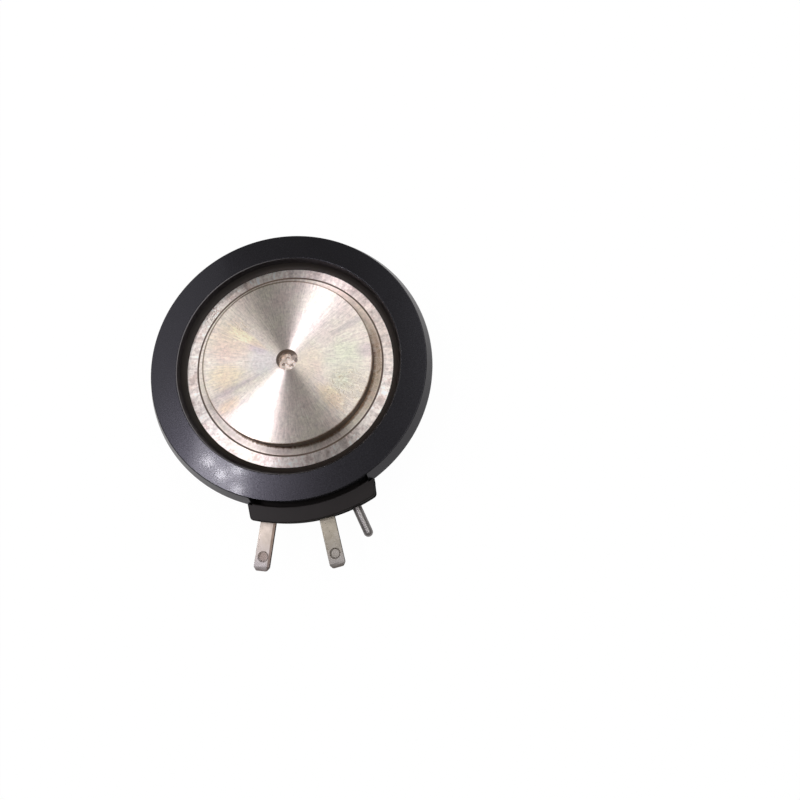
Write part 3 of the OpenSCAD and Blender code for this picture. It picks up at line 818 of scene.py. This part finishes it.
def draw_outline(name: str, points: Sequence[Vector]) -> bpy.types.Object:
    """Draws an open outline: one point, extruded from place to place.

    Args:
        name: Name of the object.
        points: Places in metres.

    Returns:
        The object, in edit mode with its whole outline selected.
    """
    bpy.ops.object.select_all(action="DESELECT")
    bpy.ops.mesh.primitive_plane_add(size=MM, location=(0.0, 0.0, 0.0))
    made = bpy.context.object
    made.name = made.data.name = name
    bpy.ops.object.mode_set(mode="EDIT")
    bpy.ops.mesh.select_mode(type="VERT")
    bpy.ops.mesh.select_all(action="SELECT")
    bpy.ops.mesh.merge(type="CENTER")
    bpy.ops.transform.translate(value=points[0])
    for here, there in zip(points, points[1:]):
        bpy.ops.mesh.extrude_region_move(TRANSFORM_OT_translate={"value": there - here})
    bpy.ops.mesh.select_all(action="SELECT")
    return made


def close_mesh() -> None:
    """Merges doubles, turns the faces outwards and leaves edit mode."""
    bpy.ops.mesh.select_all(action="SELECT")
    bpy.ops.mesh.remove_doubles(threshold=0.0005 * MM)
    bpy.ops.mesh.normals_make_consistent(inside=False)
    bpy.ops.object.mode_set(mode="OBJECT")


def turned(name: str, section: Sequence[Point], steps: int = 288, ring: bool = True) -> bpy.types.Object:
    """Turns a half section about the disc's axis, as on a lathe.

    Args:
        name: Name of the object.
        section: Radius and height of each corner in millimetres.
        steps: Segments round the axis.
        ring: Whether the section is closed; otherwise it starts and ends on the axis.

    Returns:
        The finished mesh object.
    """
    made = draw_outline(name, [Vector((r * MM, 0.0, z * MM)) for r, z in section])
    if ring:
        bpy.ops.mesh.edge_face_add()
        bpy.ops.mesh.delete(type="ONLY_FACE")
        bpy.ops.mesh.select_all(action="SELECT")
    bpy.ops.mesh.spin(steps=steps, angle=TURN, center=(0.0, 0.0, 0.0), axis=(0.0, 0.0, 1.0))
    close_mesh()
    return made


def raised(name: str, plan: Sequence[Point], low: float, high: float) -> bpy.types.Object:
    """Raises a plan outline to a solid.

    Args:
        name: Name of the object.
        plan: Corners of the outline in millimetres.
        low: Height of the lower face.
        high: Height of the upper face.

    Returns:
        The finished mesh object.
    """
    made = draw_outline(name, [Vector((x * MM, y * MM, low * MM)) for x, y in plan])
    bpy.ops.mesh.edge_face_add()
    bpy.ops.mesh.extrude_region_move(TRANSFORM_OT_translate={"value": (0.0, 0.0, (high - low) * MM)})
    close_mesh()
    return made


def combine(body: bpy.types.Object, tool: bpy.types.Object, cut: Cut) -> None:
    """Cuts or joins one solid with another and removes the second.

    Args:
        body: Solid that stays.
        tool: Solid that is used up.
        cut: Operation between them.
    """
    apply_modifier(body, "BOOLEAN", operation=cut.value, solver="EXACT", object=tool)
    bpy.data.objects.remove(tool)


def soften(body: bpy.types.Object, width: float, angle: float, segments: int = 2) -> None:
    """Breaks the sharp edges of a solid.

    Args:
        body: Solid to change.
        width: Width of the broken edge in millimetres.
        angle: Least angle of an edge that counts as sharp, in degrees.
        segments: Segments across the broken edge.
    """
    apply_modifier(
        body, "BEVEL", width=width * MM, segments=segments, limit_method="ANGLE",
        angle_limit=math.radians(angle), use_clamp_overlap=True)


def pick(body: bpy.types.Object, kind: str, chosen: Sequence[int]) -> None:
    """Enters edit mode with only some vertices or edges selected.

    Args:
        body: Object whose mesh is worked on.
        kind: "VERT" or "EDGE".
        chosen: Numbers of the vertices or edges.
    """
    hold(body)
    bpy.ops.object.mode_set(mode="EDIT")
    bpy.ops.mesh.select_mode(type=kind)
    bpy.ops.mesh.select_all(action="DESELECT")
    bpy.ops.object.mode_set(mode="OBJECT")
    parts = body.data.vertices if kind == "VERT" else body.data.edges
    for i in chosen:
        parts[i].select = True
    bpy.ops.object.mode_set(mode="EDIT")


def round_edges(body: bpy.types.Object, chosen: Sequence[int], width: float, segments: int) -> None:
    """Rounds some edges of a solid.

    Args:
        body: Solid to change.
        chosen: Numbers of the edges.
        width: Size of the rounding in millimetres.
        segments: Segments across it.
    """
    pick(body, "EDGE", chosen)
    bpy.ops.mesh.bevel(offset=width * MM, segments=segments, affect="EDGES", clamp_overlap=True)
    bpy.ops.object.mode_set(mode="OBJECT")


def smooth(body: bpy.types.Object, angle: float = 32.0) -> None:
    """Shades a solid smooth where its faces meet at a low angle.

    Args:
        body: Solid to shade.
        angle: Greatest angle that still looks smooth, in degrees.
    """
    hold(body)
    bpy.ops.object.shade_smooth_by_angle(angle=math.radians(angle))
    apply_modifier(body, "WEIGHTED_NORMAL", mode="FACE_AREA", weight=50, keep_sharp=True)


def bake_place(body: bpy.types.Object, matrix: Matrix) -> None:
    """Puts a move, turn or mirror into a mesh and keeps its faces outward.

    Args:
        body: Object whose mesh moves.
        matrix: The change of place.
    """
    body.data.transform(matrix)
    if matrix.determinant() < 0.0:
        hold(body)
        bpy.ops.object.mode_set(mode="EDIT")
        close_mesh()


def to_side(body: bpy.types.Object, side: Side) -> None:
    """Mirrors a piece of the cathode side to the anode side where asked.

    Args:
        body: Piece built on the cathode side.
        side: Side that it belongs to.
    """
    if side is Side.ANODE:
        lift = Matrix.Translation((0.0, 0.0, SIZES.total_h * MM))
        bake_place(body, lift @ Matrix.Scale(-1.0, 4, Vector((0.0, 0.0, 1.0))))


def hand_over(body: bpy.types.Object, node: str, finish: Material) -> None:
    """Gives a piece its finish and lets it stand for its CAD node.

    Args:
        body: Finished piece.
        node: CAD node that it replaces.
        finish: Material of the whole piece.
    """
    body.data.materials.clear()
    body.data.materials.append(finish)
    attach(body, "root")
    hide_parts(node)
    LOG.info("%s: %d faces for %s", body.name, len(body.data.polygons), node)


@dataclass
class Case:
    """The moulded ring, with the block's notch and the pocket of its tongue."""

    s: DiscSizes = SIZES
    finish: MouldedPlastic = field(default_factory=MouldedPlastic)
    edge: float = 0.22
    rim_edge: float = 0.35
    step_edge: float = 0.25
    body_edge: float = 0.9
    clear: float = 3.0

    def section(self) -> list[Point]:
        """Gives the ring's half section with its edges rounded."""
        s = self.s
        low_ledge, low_shelf = s.total_h - s.ledge_z, s.total_h - s.shelf_z
        return rounded([
            (s.hall_r, low_shelf, 0.0),
            (s.hall_r, s.shelf_z, 0.0),
            (s.seat_r, s.shelf_z, 0.0),
            (s.seat_r, s.ledge_z, 0.0),
            (s.top_in_r, s.case_top_z, self.edge),
            (s.top_out_r, s.case_top_z, self.edge),
            (s.rim_r, s.rim_z, self.rim_edge),
            (s.rim_r, s.rim_low_z, self.step_edge),
            (s.body_r, s.body_top_z, self.step_edge),
            (s.body_r, s.case_low_z, self.body_edge),
            (s.top_in_r, s.case_low_z, self.edge),
            (s.seat_r, low_ledge, 0.0),
            (s.seat_r, low_shelf, 0.0),
        ], 5)

    def open_side(self, body: bpy.types.Object, inner_r: float, width: float, low: float, high: float) -> None:
        """Opens the ring from an inner radius outward, on the block's side.

        Args:
            body: The ring.
            inner_r: Radius where the opening ends.
            width: Width of the opening.
            low: Its lower face.
            high: Its upper face.
        """
        half, outer = width / 2.0, -self.s.rim_r - self.clear
        swing = math.asin(half / inner_r)
        plan = arc(inner_r, FRONT - swing, FRONT + swing, 40) + [(half, outer), (-half, outer)]
        combine(body, raised("recess", plan, low, high), Cut.AWAY)

    def build(self) -> bpy.types.Object:
        """Turns the ring and opens it for the block.

        Returns:
            The finished ring.
        """
        s = self.s
        body = turned("moulded_case", self.section())
        self.open_side(body, s.notch_r, s.notch_w, s.block_z, s.case_top_z + 1.0)
        reach = s.tongue_h / 2.0 + s.fit
        self.open_side(body, s.tongue_end_r - s.fit, s.tongue_w + 2.0 * s.fit, s.wire_z - reach, s.wire_z + reach)
        soften(body, width=0.06, angle=55.0)
        smooth(body)
        hand_over(body, "housing_ring", self.finish.material())
        return body


@dataclass
class TerminalBlock:
    """The separate moulded block that carries the tabs and the pin."""

    s: DiscSizes = SIZES
    # Painted shade: the block's walls are drawn near-black and its faces below 10.1 mm almost black.
    finish: MouldedPlastic = field(default_factory=lambda: MouldedPlastic(
        name="moulded_black_block", colour="#141111", light_colour="#191616", sheen_tint="#fff4f0",
        roughness=0.55, specular=0.14, skin=0.2, skin_roughness=0.35, sunk_z=10.1,
        grain_height_mm=0.004, wave_height_mm=0.01))
    corner: float = 0.9
    edge: float = 0.3
    lap: float = 1.0
    body_gap: float = 0.002
    narrower: float = 0.04

    def inner_wall(self, radius: float, width: float) -> list[Point]:
        """Gives the arc of the block's inner wall, from its right end to its left."""
        swing = math.asin(width / 2.0 / radius)
        return arc(radius, FRONT + swing, FRONT - swing, 40)

    def square_plan(self, inner_r: float, outer_r: float, width: float) -> list[Point]:
        """Gives a plan between two radii with upright ends.

        Args:
            inner_r: Radius of the inner wall.
            outer_r: Radius of the outer wall.
            width: Distance between the ends.

        Returns:
            The outline's points.
        """
        swing = math.asin(width / 2.0 / outer_r)
        return self.inner_wall(inner_r, width) + arc(outer_r, FRONT - swing, FRONT + swing, 48)

    def tapered_plan(self) -> list[Point]:
        """Gives the block's own plan, whose ends taper beyond the rim to rounded corners."""
        s, corner = self.s, self.corner
        half, lean = s.block_w / 2.0, math.tan(s.block_taper)
        leave_y = math.sqrt(s.rim_r ** 2 - half ** 2)
        reach = half + leave_y * lean - corner / math.cos(s.block_taper)
        square = 1.0 + lean ** 2
        inside = (reach * lean) ** 2 - square * (reach ** 2 - (s.block_r - corner) ** 2)
        mid_y = (reach * lean + math.sqrt(inside)) / square
        mid_x = reach - mid_y * lean
        first, last = math.pi + s.block_taper, math.pi + math.atan2(mid_y, mid_x)
        left = [(-half, -leave_y)] + arc(corner, first, last, 8, (-mid_x, -mid_y))
        front = arc(s.block_r, last, 3.0 * math.pi - last, 48)[1:-1]
        return self.inner_wall(s.block_in_r, s.block_w) + left + front + [(-x, y) for x, y in reversed(left)]

    def rim_tool(self, side: int) -> bpy.types.Object:
        """Makes the tool that keeps one end of the block outside the rim.

        Args:
            side: -1 for the left end, 1 for the right end.

        Returns:
            The tool as a solid.
        """
        s = self.s
        radius = s.rim_r + s.rim_clear
        near, far = s.notch_w / 2.0 - s.notch_clear, s.block_w / 2.0 + 1.0
        plan = arc(radius, FRONT + math.asin(near / radius), FRONT + math.asin(far / radius), 12)
        inside = -s.body_r * 0.8
        plan += [(far, inside), (near, inside)]
        return raised("rim_tool", [(side * x, y) for x, y in plan], s.body_top_z - s.low_clear, s.block_top_z + 1.0)

    def build(self) -> bpy.types.Object:
        """Joins the block's upper part, lower part and tongue and rounds its edges.

        Returns:
            The finished block.
        """
        s = self.s
        body = raised("terminal_carrier", self.tapered_plan(), s.block_z, s.block_top_z)
        level = [v.co.z / MM for v in body.data.vertices]
        rims = [e.index for e in body.data.edges
                if any(max(abs(level[i] - z) for i in e.vertices) < 0.001 for z in (s.block_z, s.block_top_z))]
        round_edges(body, rims, self.edge, segments=5)
        for side in (-1, 1):
            combine(body, self.rim_tool(side), Cut.AWAY)
        low = self.square_plan(s.body_r + self.body_gap, s.block_in_r + self.lap, s.block_w - self.narrower)
        combine(body, raised("low_part", low, s.block_z, s.body_top_z - s.low_clear), Cut.JOIN)
        tongue = self.square_plan(s.tongue_end_r, s.block_r - self.lap, s.tongue_w)
        half = s.tongue_h / 2.0
        combine(body, raised("tongue", tongue, s.wire_z - half, s.wire_z + half), Cut.JOIN)
        soften(body, width=0.05, angle=60.0)
        smooth(body)
        hand_over(body, "terminal_block", self.finish.material())
        return body


@dataclass
class ContactPole:
    """One turned copper pole: face, side, ledge and foot, with its centring hole."""

    side: Side
    finish: Material
    s: DiscSizes = SIZES
    hole_r: float = 2.1
    hole_depth: float = 3.0
    hole_edge: float = 0.07
    face_edge: float = 0.16
    boss_r: float = 15.2
    cathode_inner_z: float = 8.0
    anode_inner_z: float = 9.2
    pocket_r: float = 3.0
    pocket_depth: float = 2.0
    slot_w: float = 1.58
    slot_h: float = 1.54
    slot_angle: float = math.radians(3.7)

    def section(self) -> list[Point]:
        """Gives the half section from the gate pocket round to the hole's floor."""
        s = self.s
        inner_z, floor = self.anode_inner_z, s.total_h - self.hole_depth
        pocket = [(0.0, inner_z, 0.0)]
        if self.side is Side.CATHODE:
            inner_z = self.cathode_inner_z
            ceiling = inner_z + self.pocket_depth
            pocket = [(0.0, ceiling, 0.0), (self.pocket_r, ceiling, 0.0), (self.pocket_r, inner_z, 0.0)]
        return rounded(pocket + [
            (self.boss_r, inner_z, 0.1),
            (self.boss_r, s.foot_z, 0.0),
            (s.ledge_r, s.foot_z, 0.0),
            (s.ledge_r, s.ledge_z - s.joint_depth, 0.0),
            (s.ledge_r - s.joint_w, s.ledge_z, 0.02),
            (s.pole_r, s.ledge_z, 0.12),
            (s.pole_r, s.total_h, self.face_edge),
            (self.hole_r, s.total_h, self.hole_edge),
            (self.hole_r, floor, 0.15),
            (0.0, floor, 0.0),
        ], 4)

    def build(self) -> bpy.types.Object:
        """Turns the pole and mills the slot for the gate wire into the cathode one.

        Returns:
            The finished pole.
        """
        name = f"{self.side.value}_pole"
        body = turned(f"turned_{name}", self.section(), ring=False)
        if self.side is Side.CATHODE:
            half, end = self.slot_w / 2.0, -self.boss_r - 1.0
            plan = [(-half, end), (half, end), (half, 0.0), (-half, 0.0)]
            slot = raised("slot", plan, self.cathode_inner_z - 1.0, self.cathode_inner_z + self.slot_h)
            bake_place(slot, Matrix.Rotation(self.slot_angle, 4, "Z"))
            combine(body, slot, Cut.AWAY)
        smooth(body, angle=28.0)
        to_side(body, self.side)
        hand_over(body, name, self.finish)
        return body


@dataclass
class Flange:
    """The thin blasted ring that closes the case round a pole's foot."""

    side: Side
    finish: Material
    s: DiscSizes = SIZES

    def build(self) -> bpy.types.Object:
        """Turns the flange with the bevel of its fine joint line.

        Returns:
            The finished flange.
        """
        s = self.s
        section = rounded([
            (s.ledge_r, s.shelf_z, 0.0),
            (s.flange_r, s.shelf_z, 0.0),
            (s.flange_r, s.ledge_z, 0.05),
            (s.ledge_r + s.joint_w, s.ledge_z, 0.02),
            (s.ledge_r, s.ledge_z - s.joint_depth, 0.0),
        ], 3)
        body = turned(f"{self.side.value}_blasted_flange", section)
        smooth(body)
        to_side(body, self.side)
        hand_over(body, f"{self.side.value}_flange", self.finish)
        return body


@dataclass
class SealBead:
    """The bead of resin laid in the corner between a flange and the case."""

    side: Side
    finish: Material
    s: DiscSizes = SIZES
    height: float = 0.65
    hollow: float = 1.35
    wander: float = 0.1
    slip: Point = (-0.06, -0.16)
    slip_reach: float = 0.55
    edge_margin: float = 0.02
    face_steps: int = 8

    def build(self) -> bpy.types.Object:
        """Turns the hollow-faced bead, lets its inner edge wander a little and slips it to one side.

        Returns:
            The finished bead.
        """
        s = self.s
        lean = (s.top_in_r - s.seat_r) / (s.case_top_z - s.ledge_z) * self.height
        foot = s.seat_r - s.band_r
        section = [(s.seat_r - 0.001, s.ledge_z)]
        section += [(s.seat_r + lean - (foot + lean) * t, s.ledge_z + self.height * (1.0 - t) ** self.hollow)
                    for t in (k / self.face_steps for k in range(self.face_steps + 1))]
        body = turned(f"{self.side.value}_resin_bead", section)
        near = (s.band_r + self.edge_margin) * MM
        edge = [v.index for v in body.data.vertices if math.hypot(v.co.x, v.co.y) < near]
        pick(body, "VERT", edge)
        bpy.ops.transform.vertex_random(offset=self.wander * MM, seed=4)
        bpy.ops.mesh.vertices_smooth(factor=0.5, repeat=3)
        bpy.ops.object.mode_set(mode="OBJECT")
        reach = sum(math.hypot(*body.data.vertices[i].co[:2]) for i in edge) / len(edge)
        bpy.ops.object.mode_set(mode="EDIT")
        back = s.band_r * MM / reach
        bpy.ops.transform.resize(value=(back, back, 1.0), center_override=(0.0, 0.0, 0.0))
        bpy.ops.transform.translate(
            value=(self.slip[0] * MM, self.slip[1] * MM, 0.0), use_proportional_edit=True,
            proportional_edit_falloff="LINEAR", proportional_size=self.slip_reach * MM)
        bpy.ops.object.mode_set(mode="OBJECT")
        smooth(body, angle=50.0)
        to_side(body, self.side)
        hand_over(body, f"{self.side.value}_seal", self.finish)
        return body


@dataclass
class FlatTab:
    """One stamped push-on tab with a bevelled tip, cut corners and a round dimple."""

    node: str
    angle: float
    plating: Plating
    length: float
    roll: float = 0.0
    s: DiscSizes = SIZES
    width: float = 3.0
    tip: float = 0.9
    tip_cut: float = 0.48
    tip_fall: float = 0.224
    dimple_r: float = 1.05
    dimple_back: float = 2.65
    dimple_depth: float = 0.25

    def strip(self, end: float) -> bpy.types.Object:
        """Stamps the tab out of strip and bevels its tip above and below.

        Args:
            end: Place of the tip along the tab, in millimetres.

        Returns:
            The tab without its dimple.
        """
        s, half, cut = self.s, self.width / 2.0, self.tip_cut
        thick = s.tab_thick / 2.0
        shoulder = end + cut * 1.4
        plan = rounded([
            (-half, -s.tail_r, 0.0), (-half, shoulder, 0.5), (-half + cut, end, 0.4),
            (half - cut, end, 0.4), (half, shoulder, 0.5), (half, -s.tail_r, 0.0)], 3)
        body = raised(self.node + "_strip", plan, s.wire_z - thick, s.wire_z + thick)
        wide, back = self.width, end + self.tip
        for sign in (1.0, -1.0):
            face = s.wire_z + sign * thick
            plan = [(-wide, end - 1.0), (wide, end - 1.0), (wide, back), (-wide, back)]
            wedge = raised("wedge", plan, min(face, face + sign), max(face, face + sign))
            pivot = Vector((0.0, back * MM, face * MM))
            slope = Matrix.Rotation(sign * math.atan2(self.tip_fall, self.tip), 4, "X")
            bake_place(wedge, Matrix.Translation(pivot) @ slope @ Matrix.Translation(-pivot))
            combine(body, wedge, Cut.AWAY)
        return body

    def build(self) -> bpy.types.Object:
        """Stamps the tab, presses its dimple and rolls its edge where asked.

        Returns:
            The finished tab.
        """
        s, half = self.s, self.width / 2.0
        end, high = -(s.block_r + self.length), s.wire_z + s.tab_thick / 2.0
        body = self.strip(end)
        press = turned("press", rounded([
            (0.0, high - self.dimple_depth, 0.0), (self.dimple_r, high - self.dimple_depth, 0.12),
            (self.dimple_r, high + 0.5, 0.0), (0.0, high + 0.5, 0.0)], 4), 64, ring=False)
        bake_place(press, Matrix.Translation((0.0, (end + self.dimple_back) * MM, 0.0)))
        combine(body, press, Cut.AWAY)
        # Painted shade darkens the tab from here across its rolled edge; without a roll this lies beyond the tab.
        painted_edge_shading = self.width
        if self.roll:
            painted_edge_shading = half - self.roll - 0.05
            spots = [v.co / MM for v in body.data.vertices]
            side = [e.index for e in body.data.edges
                    if all(abs(spots[i].x - half) < 0.01 and abs(spots[i].z - high) < 0.01 for i in e.vertices)]
            round_edges(body, side, self.roll, segments=4)
        soften(body, width=0.16, angle=60.0, segments=3)
        smooth(body)
        bake_place(body, Matrix.Rotation(self.angle, 4, "Z"))
        strip = TinnedStrip(self.plating, self.angle, -end - self.dimple_back, painted_edge_shading)
        hand_over(body, self.node, strip.material())
        return body


@dataclass
class LocatingPin:
    """The round pin with a domed end that keeps the plug the right way round."""

    s: DiscSizes = SIZES
    radius: float = 0.9
    shank_w: float = 1.0
    length: float = 6.25
    neck: float = 0.1
    angle: float = math.radians(14.7)

    def build(self) -> bpy.types.Object:
        """Turns the pin upright, then lays it along its radius.

        Returns:
            The finished pin.
        """
        s = self.s
        full = s.block_r - s.tail_r + self.length
        shank = s.block_r - s.tail_r + self.neck
        dome = arc(self.radius, 0.0, math.pi / 2.0, 8, (0.0, full - self.radius))
        body = turned("round_pin", [(0.0, shank), (self.radius, shank)] + dome[:-1] + [(0.0, full)], 64, ring=False)
        half = self.shank_w / 2.0
        flats = raised("flats", [(-half, -half), (half, -half), (half, half), (-half, half)], 0.0, shank + half)
        combine(body, flats, Cut.JOIN)
        lay = Matrix.Translation((0.0, -s.tail_r * MM, s.wire_z * MM)) @ Matrix.Rotation(math.pi / 2, 4, "X")
        bake_place(body, Matrix.Rotation(self.angle, 4, "Z") @ lay)
        smooth(body, angle=40.0)
        # Drawing marks are assumed to be too fine to show, so a coarse and shallow grain stands for them.
        # The pin's root is drawn darker as painted shade from the block.
        steel = PlainStock(
            "drawn_steel_pin", "#938f8d", "#9d9a98", 0.4, 1.0, grain_mm=1.5, grain_height_mm=0.0004, root_r=s.block_r)
        hand_over(body, "locating_pin", steel.material())
        return body


@dataclass
class Stack:
    """The pieces inside the case, which keep their CAD shapes."""

    finishes: dict[str, PlainStock] = field(default_factory=lambda: {
        "silicon_wafer": PlainStock("lapped_silicon", "#5d626c", "#6b707b", 0.22, 0.0, 3.4, 0.1, 0.001),
        "anode_molybdenum_disc": PlainStock("ground_molybdenum", "#85868a", "#95969a", 0.35, 1.0, grain_mm=0.15),
        "cathode_molybdenum_disc": PlainStock(
            "ground_molybdenum_thin", "#85868a", "#95969a", 0.35, 1.0, grain_mm=0.15),
        "wafer_edge_seal": PlainStock("clear_silicone_rubber", "#c2bba8", "#d2ccbb", 0.35, 0.0, 1.41, 0.6, 0.01),
        "centring_ring": PlainStock("white_ptfe", "#e2dfd6", "#ece9e2", 0.45, 0.0, 1.35, 0.3, 0.004),
        "gate_contact_pin": PlainStock("gold_flashed_pin", "#c8ad66", "#dcc580", 0.25, 1.0, grain_mm=0.1),
        "gate_spring": PlainStock("spring_steel_washer", "#a9abad", "#bdbfc1", 0.28, 1.0, grain_mm=0.1),
        "gate_insulator": PlainStock("ivory_peek_cup", "#cdbf9f", "#d8ccb0", 0.42, 0.0, 1.65, 0.2),
        "gate_lead": PlainStock("drawn_copper_wire", "#b5714a", "#c98a62", 0.3, 1.0, grain_mm=0.1),
        "cathode_lead": PlainStock("drawn_copper_wire_short", "#b5714a", "#c98a62", 0.3, 1.0, grain_mm=0.1),
        "gate_lead_sleeve": PlainStock("clear_ptfe_sleeve", "#e6e2da", "#f0ede7", 0.3, 0.0, 1.35, 0.3),
    })

    def dress(self) -> None:
        """Gives each inner CAD node its finish."""
        for node, finish in self.finishes.items():
            material = finish.material()
            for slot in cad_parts[node].material_slots:
                slot.material = material
            LOG.info("%s: dressed as %s", node, material.name)


@dataclass(frozen=True)
class Lamp:
    """One soft rectangular lamp that faces the disc, in millimetres.

    Its level is how many times brighter than white paper it looks; along is the direction of its longer sides.
    """

    name: str
    place: Place
    along: Place
    size: Point
    level: float
    tint: str
    aim: Place = (0.0, 0.0, 12.0)

    def hang(self) -> None:
        """Hangs the lamp at its place, turned to the disc."""
        data = bpy.data.lights.new(self.name, "AREA")
        data.shape = "RECTANGLE"
        data.size, data.size_y = self.size[0] * MM, self.size[1] * MM
        data.energy = self.level * math.pi * data.size * data.size_y
        data.color = linear(self.tint)[:3]
        made = bpy.data.objects.new(self.name, data)
        bpy.context.scene.collection.objects.link(made)
        seat = Vector(self.place) * MM
        back = (seat - Vector(self.aim) * MM).normalized()
        side = Vector(self.along)
        side = (side - back * side.dot(back)).normalized()
        turn = Matrix((side, back.cross(side), back)).transposed().to_4x4()
        made.matrix_world = Matrix.Translation(seat) @ turn


@dataclass
class Studio:
    """The camera of the photograph, soft lamps, a pale floor and a white surround."""

    eye: Place = (19.516, -38.685, 117.472)
    aim: Place = (20.462, -12.006, 11.0)
    roll: float = math.radians(-9.4827)
    sensor: float = 36.0
    lens: float = 550.9 * 36.0 / 800.0
    lamps: tuple[Lamp, ...] = (
        Lamp("strip_lamp", (-236.0, 33.8, 600.0), (-83.7, -247.7, 0.0), (261.5, 70.0), 11.5, "#f9f5ff"),
        Lamp("left_window", (-340.8, 316.1, 425.7), (0.451, 0.893, 0.0), (426.5, 40.7), 7.4, "#fffaf6"),
        Lamp("right_window", (203.3, 111.2, 600.0), (0.1186, 0.993, 0.0), (660.0, 158.0), 3.45, "#ffffff"),
        Lamp("pale_wall", (-300.0, 283.0, 600.0), (1.0, 0.0, 0.0), (262.0, 236.0), 0.8, "#f6f6ff"),
    )
    bulbs: tuple[Place, ...] = (
        (-228.0, 104.6, 170.0), (-213.4, 84.7, 190.0), (-192.1, 86.7, 140.0), (-196.8, 60.8, 130.0))
    bulb_z: float = 595.0
    bulb_w: float = 8.0
    floor_m: float = 6.0
    floor_white: float = 0.965

    def camera(self) -> None:
        """Places the camera where the photograph was taken from."""
        data = bpy.data.cameras.new("photo_camera")
        data.lens = self.lens
        data.sensor_width = self.sensor
        data.sensor_fit = "HORIZONTAL"
        data.clip_start = 0.005
        made = bpy.data.objects.new("photo_camera", data)
        bpy.context.scene.collection.objects.link(made)
        eye, aim = Vector(self.eye) * MM, Vector(self.aim) * MM
        ahead = (aim - eye).normalized()
        right = ahead.cross(Vector((0.0, 0.0, 1.0))).normalized()
        above = right.cross(ahead)
        c, s = math.cos(self.roll), math.sin(self.roll)
        turn = Matrix((right * c + above * s, above * c - right * s, -ahead)).transposed().to_4x4()
        made.matrix_world = Matrix.Translation(eye) @ turn
        bpy.context.scene.camera = made

    def floor(self) -> None:
        """Lays a pale floor that keeps a soft shadow."""
        bpy.ops.object.select_all(action="DESELECT")
        bpy.ops.mesh.primitive_plane_add(size=self.floor_m, location=(0.0, 0.0, 0.0))
        made = bpy.context.object
        made.name = "studio_floor"
        paper = new_material("white_paper")
        seen = add_node(paper, "LightPath", out="Is Camera Ray")
        share = add_node(paper, "Math", {1: self.floor_white}, {0: seen}, operation="MULTIPLY")
        matt = add_node(paper, "BsdfDiffuse", {"Color": linear("#cfcfcf")})
        white = add_node(paper, "Emission", {"Color": linear("#ffffff"), "Strength": 1.012})
        mixed = add_node(paper, "MixShader", {}, {0: share, 1: matt, 2: white})
        add_node(paper, "OutputMaterial", {}, {"Surface": mixed})
        made.data.materials.append(paper)

    def surround(self) -> None:
        """Makes the world: white where it is seen, soft where it lights and dim where metal mirrors it."""
        world = bpy.data.worlds.new("studio_surround")
        bpy.context.scene.world = world
        world.use_nodes = True
        world.node_tree.nodes.clear()
        path = add_node(world, "LightPath").node.outputs
        soft = add_node(world, "Background", {"Color": (1.0, 0.98, 0.97, 1.0), "Strength": 0.7})
        dim = add_node(world, "Background", {"Color": (1.0, 0.97, 0.96, 1.0), "Strength": 0.235})
        white = add_node(world, "Background", {"Color": (1.0, 1.0, 1.0, 1.0), "Strength": 1.0})
        lit = add_node(world, "MixShader", {}, {0: path["Is Glossy Ray"], 1: soft, 2: dim})
        mixed = add_node(world, "MixShader", {}, {0: path["Is Camera Ray"], 1: lit, 2: white})
        add_node(world, "OutputWorld", {}, {"Surface": mixed})

    def build(self) -> None:
        """Sets up the whole studio."""
        self.camera()
        self.floor()
        self.surround()
        for lamp in self.lamps:
            lamp.hang()
        for i, (x, y, level) in enumerate(self.bulbs, 1):
            place, size = (x, y, self.bulb_z), (self.bulb_w, self.bulb_w)
            Lamp(f"bulb_{i}", place, (1.0, 0.0, 0.0), size, level, "#fbf9ff").hang()
        bpy.context.scene.view_settings.view_transform = "Standard"


def main() -> None:
    """Builds the pieces in order, dresses the inner nodes and sets up the studio."""
    logging.basicConfig(level=logging.INFO, format="%(name)s: %(message)s")
    Case().build()
    TerminalBlock().build()
    turned_nickel = TurnedNickel(stains_and_painted_light=FACE_STAINS_AND_PAINTED_LIGHT).material()
    flange_nickel = TurnedNickel(
        name="turned_flange_plate", colour="#f3e9e3", pink="#dccbc4", yellow="#f8f0e9", mottle_mm=2.4,
        wall_shade_colour="#8c7b70", stains_and_painted_light=FLANGE_STAINS_AND_PAINTED_LIGHT, speckle_mm=0.6, speckle=0.44, streak=0.62,
        marks=Marks(chatter_step=0.055, chatter_mm=9.0, chatter_height_mm=0.003, grain_mm=0.3)).material()
    resin = SealingResin().material()
    for side in Side:
        ContactPole(side, turned_nickel).build()
        Flange(side, flange_nickel).build()
        SealBead(side, resin).build()
    FlatTab("cathode_tab", math.radians(-17.1), Plating.BRIGHT, 9.05, roll=0.42).build()
    FlatTab("gate_tab", math.radians(3.7), Plating.DULL, 9.5).build()
    LocatingPin().build()
    Stack().dress()
    Studio().build()


if __name__ == "__main__":
    main()
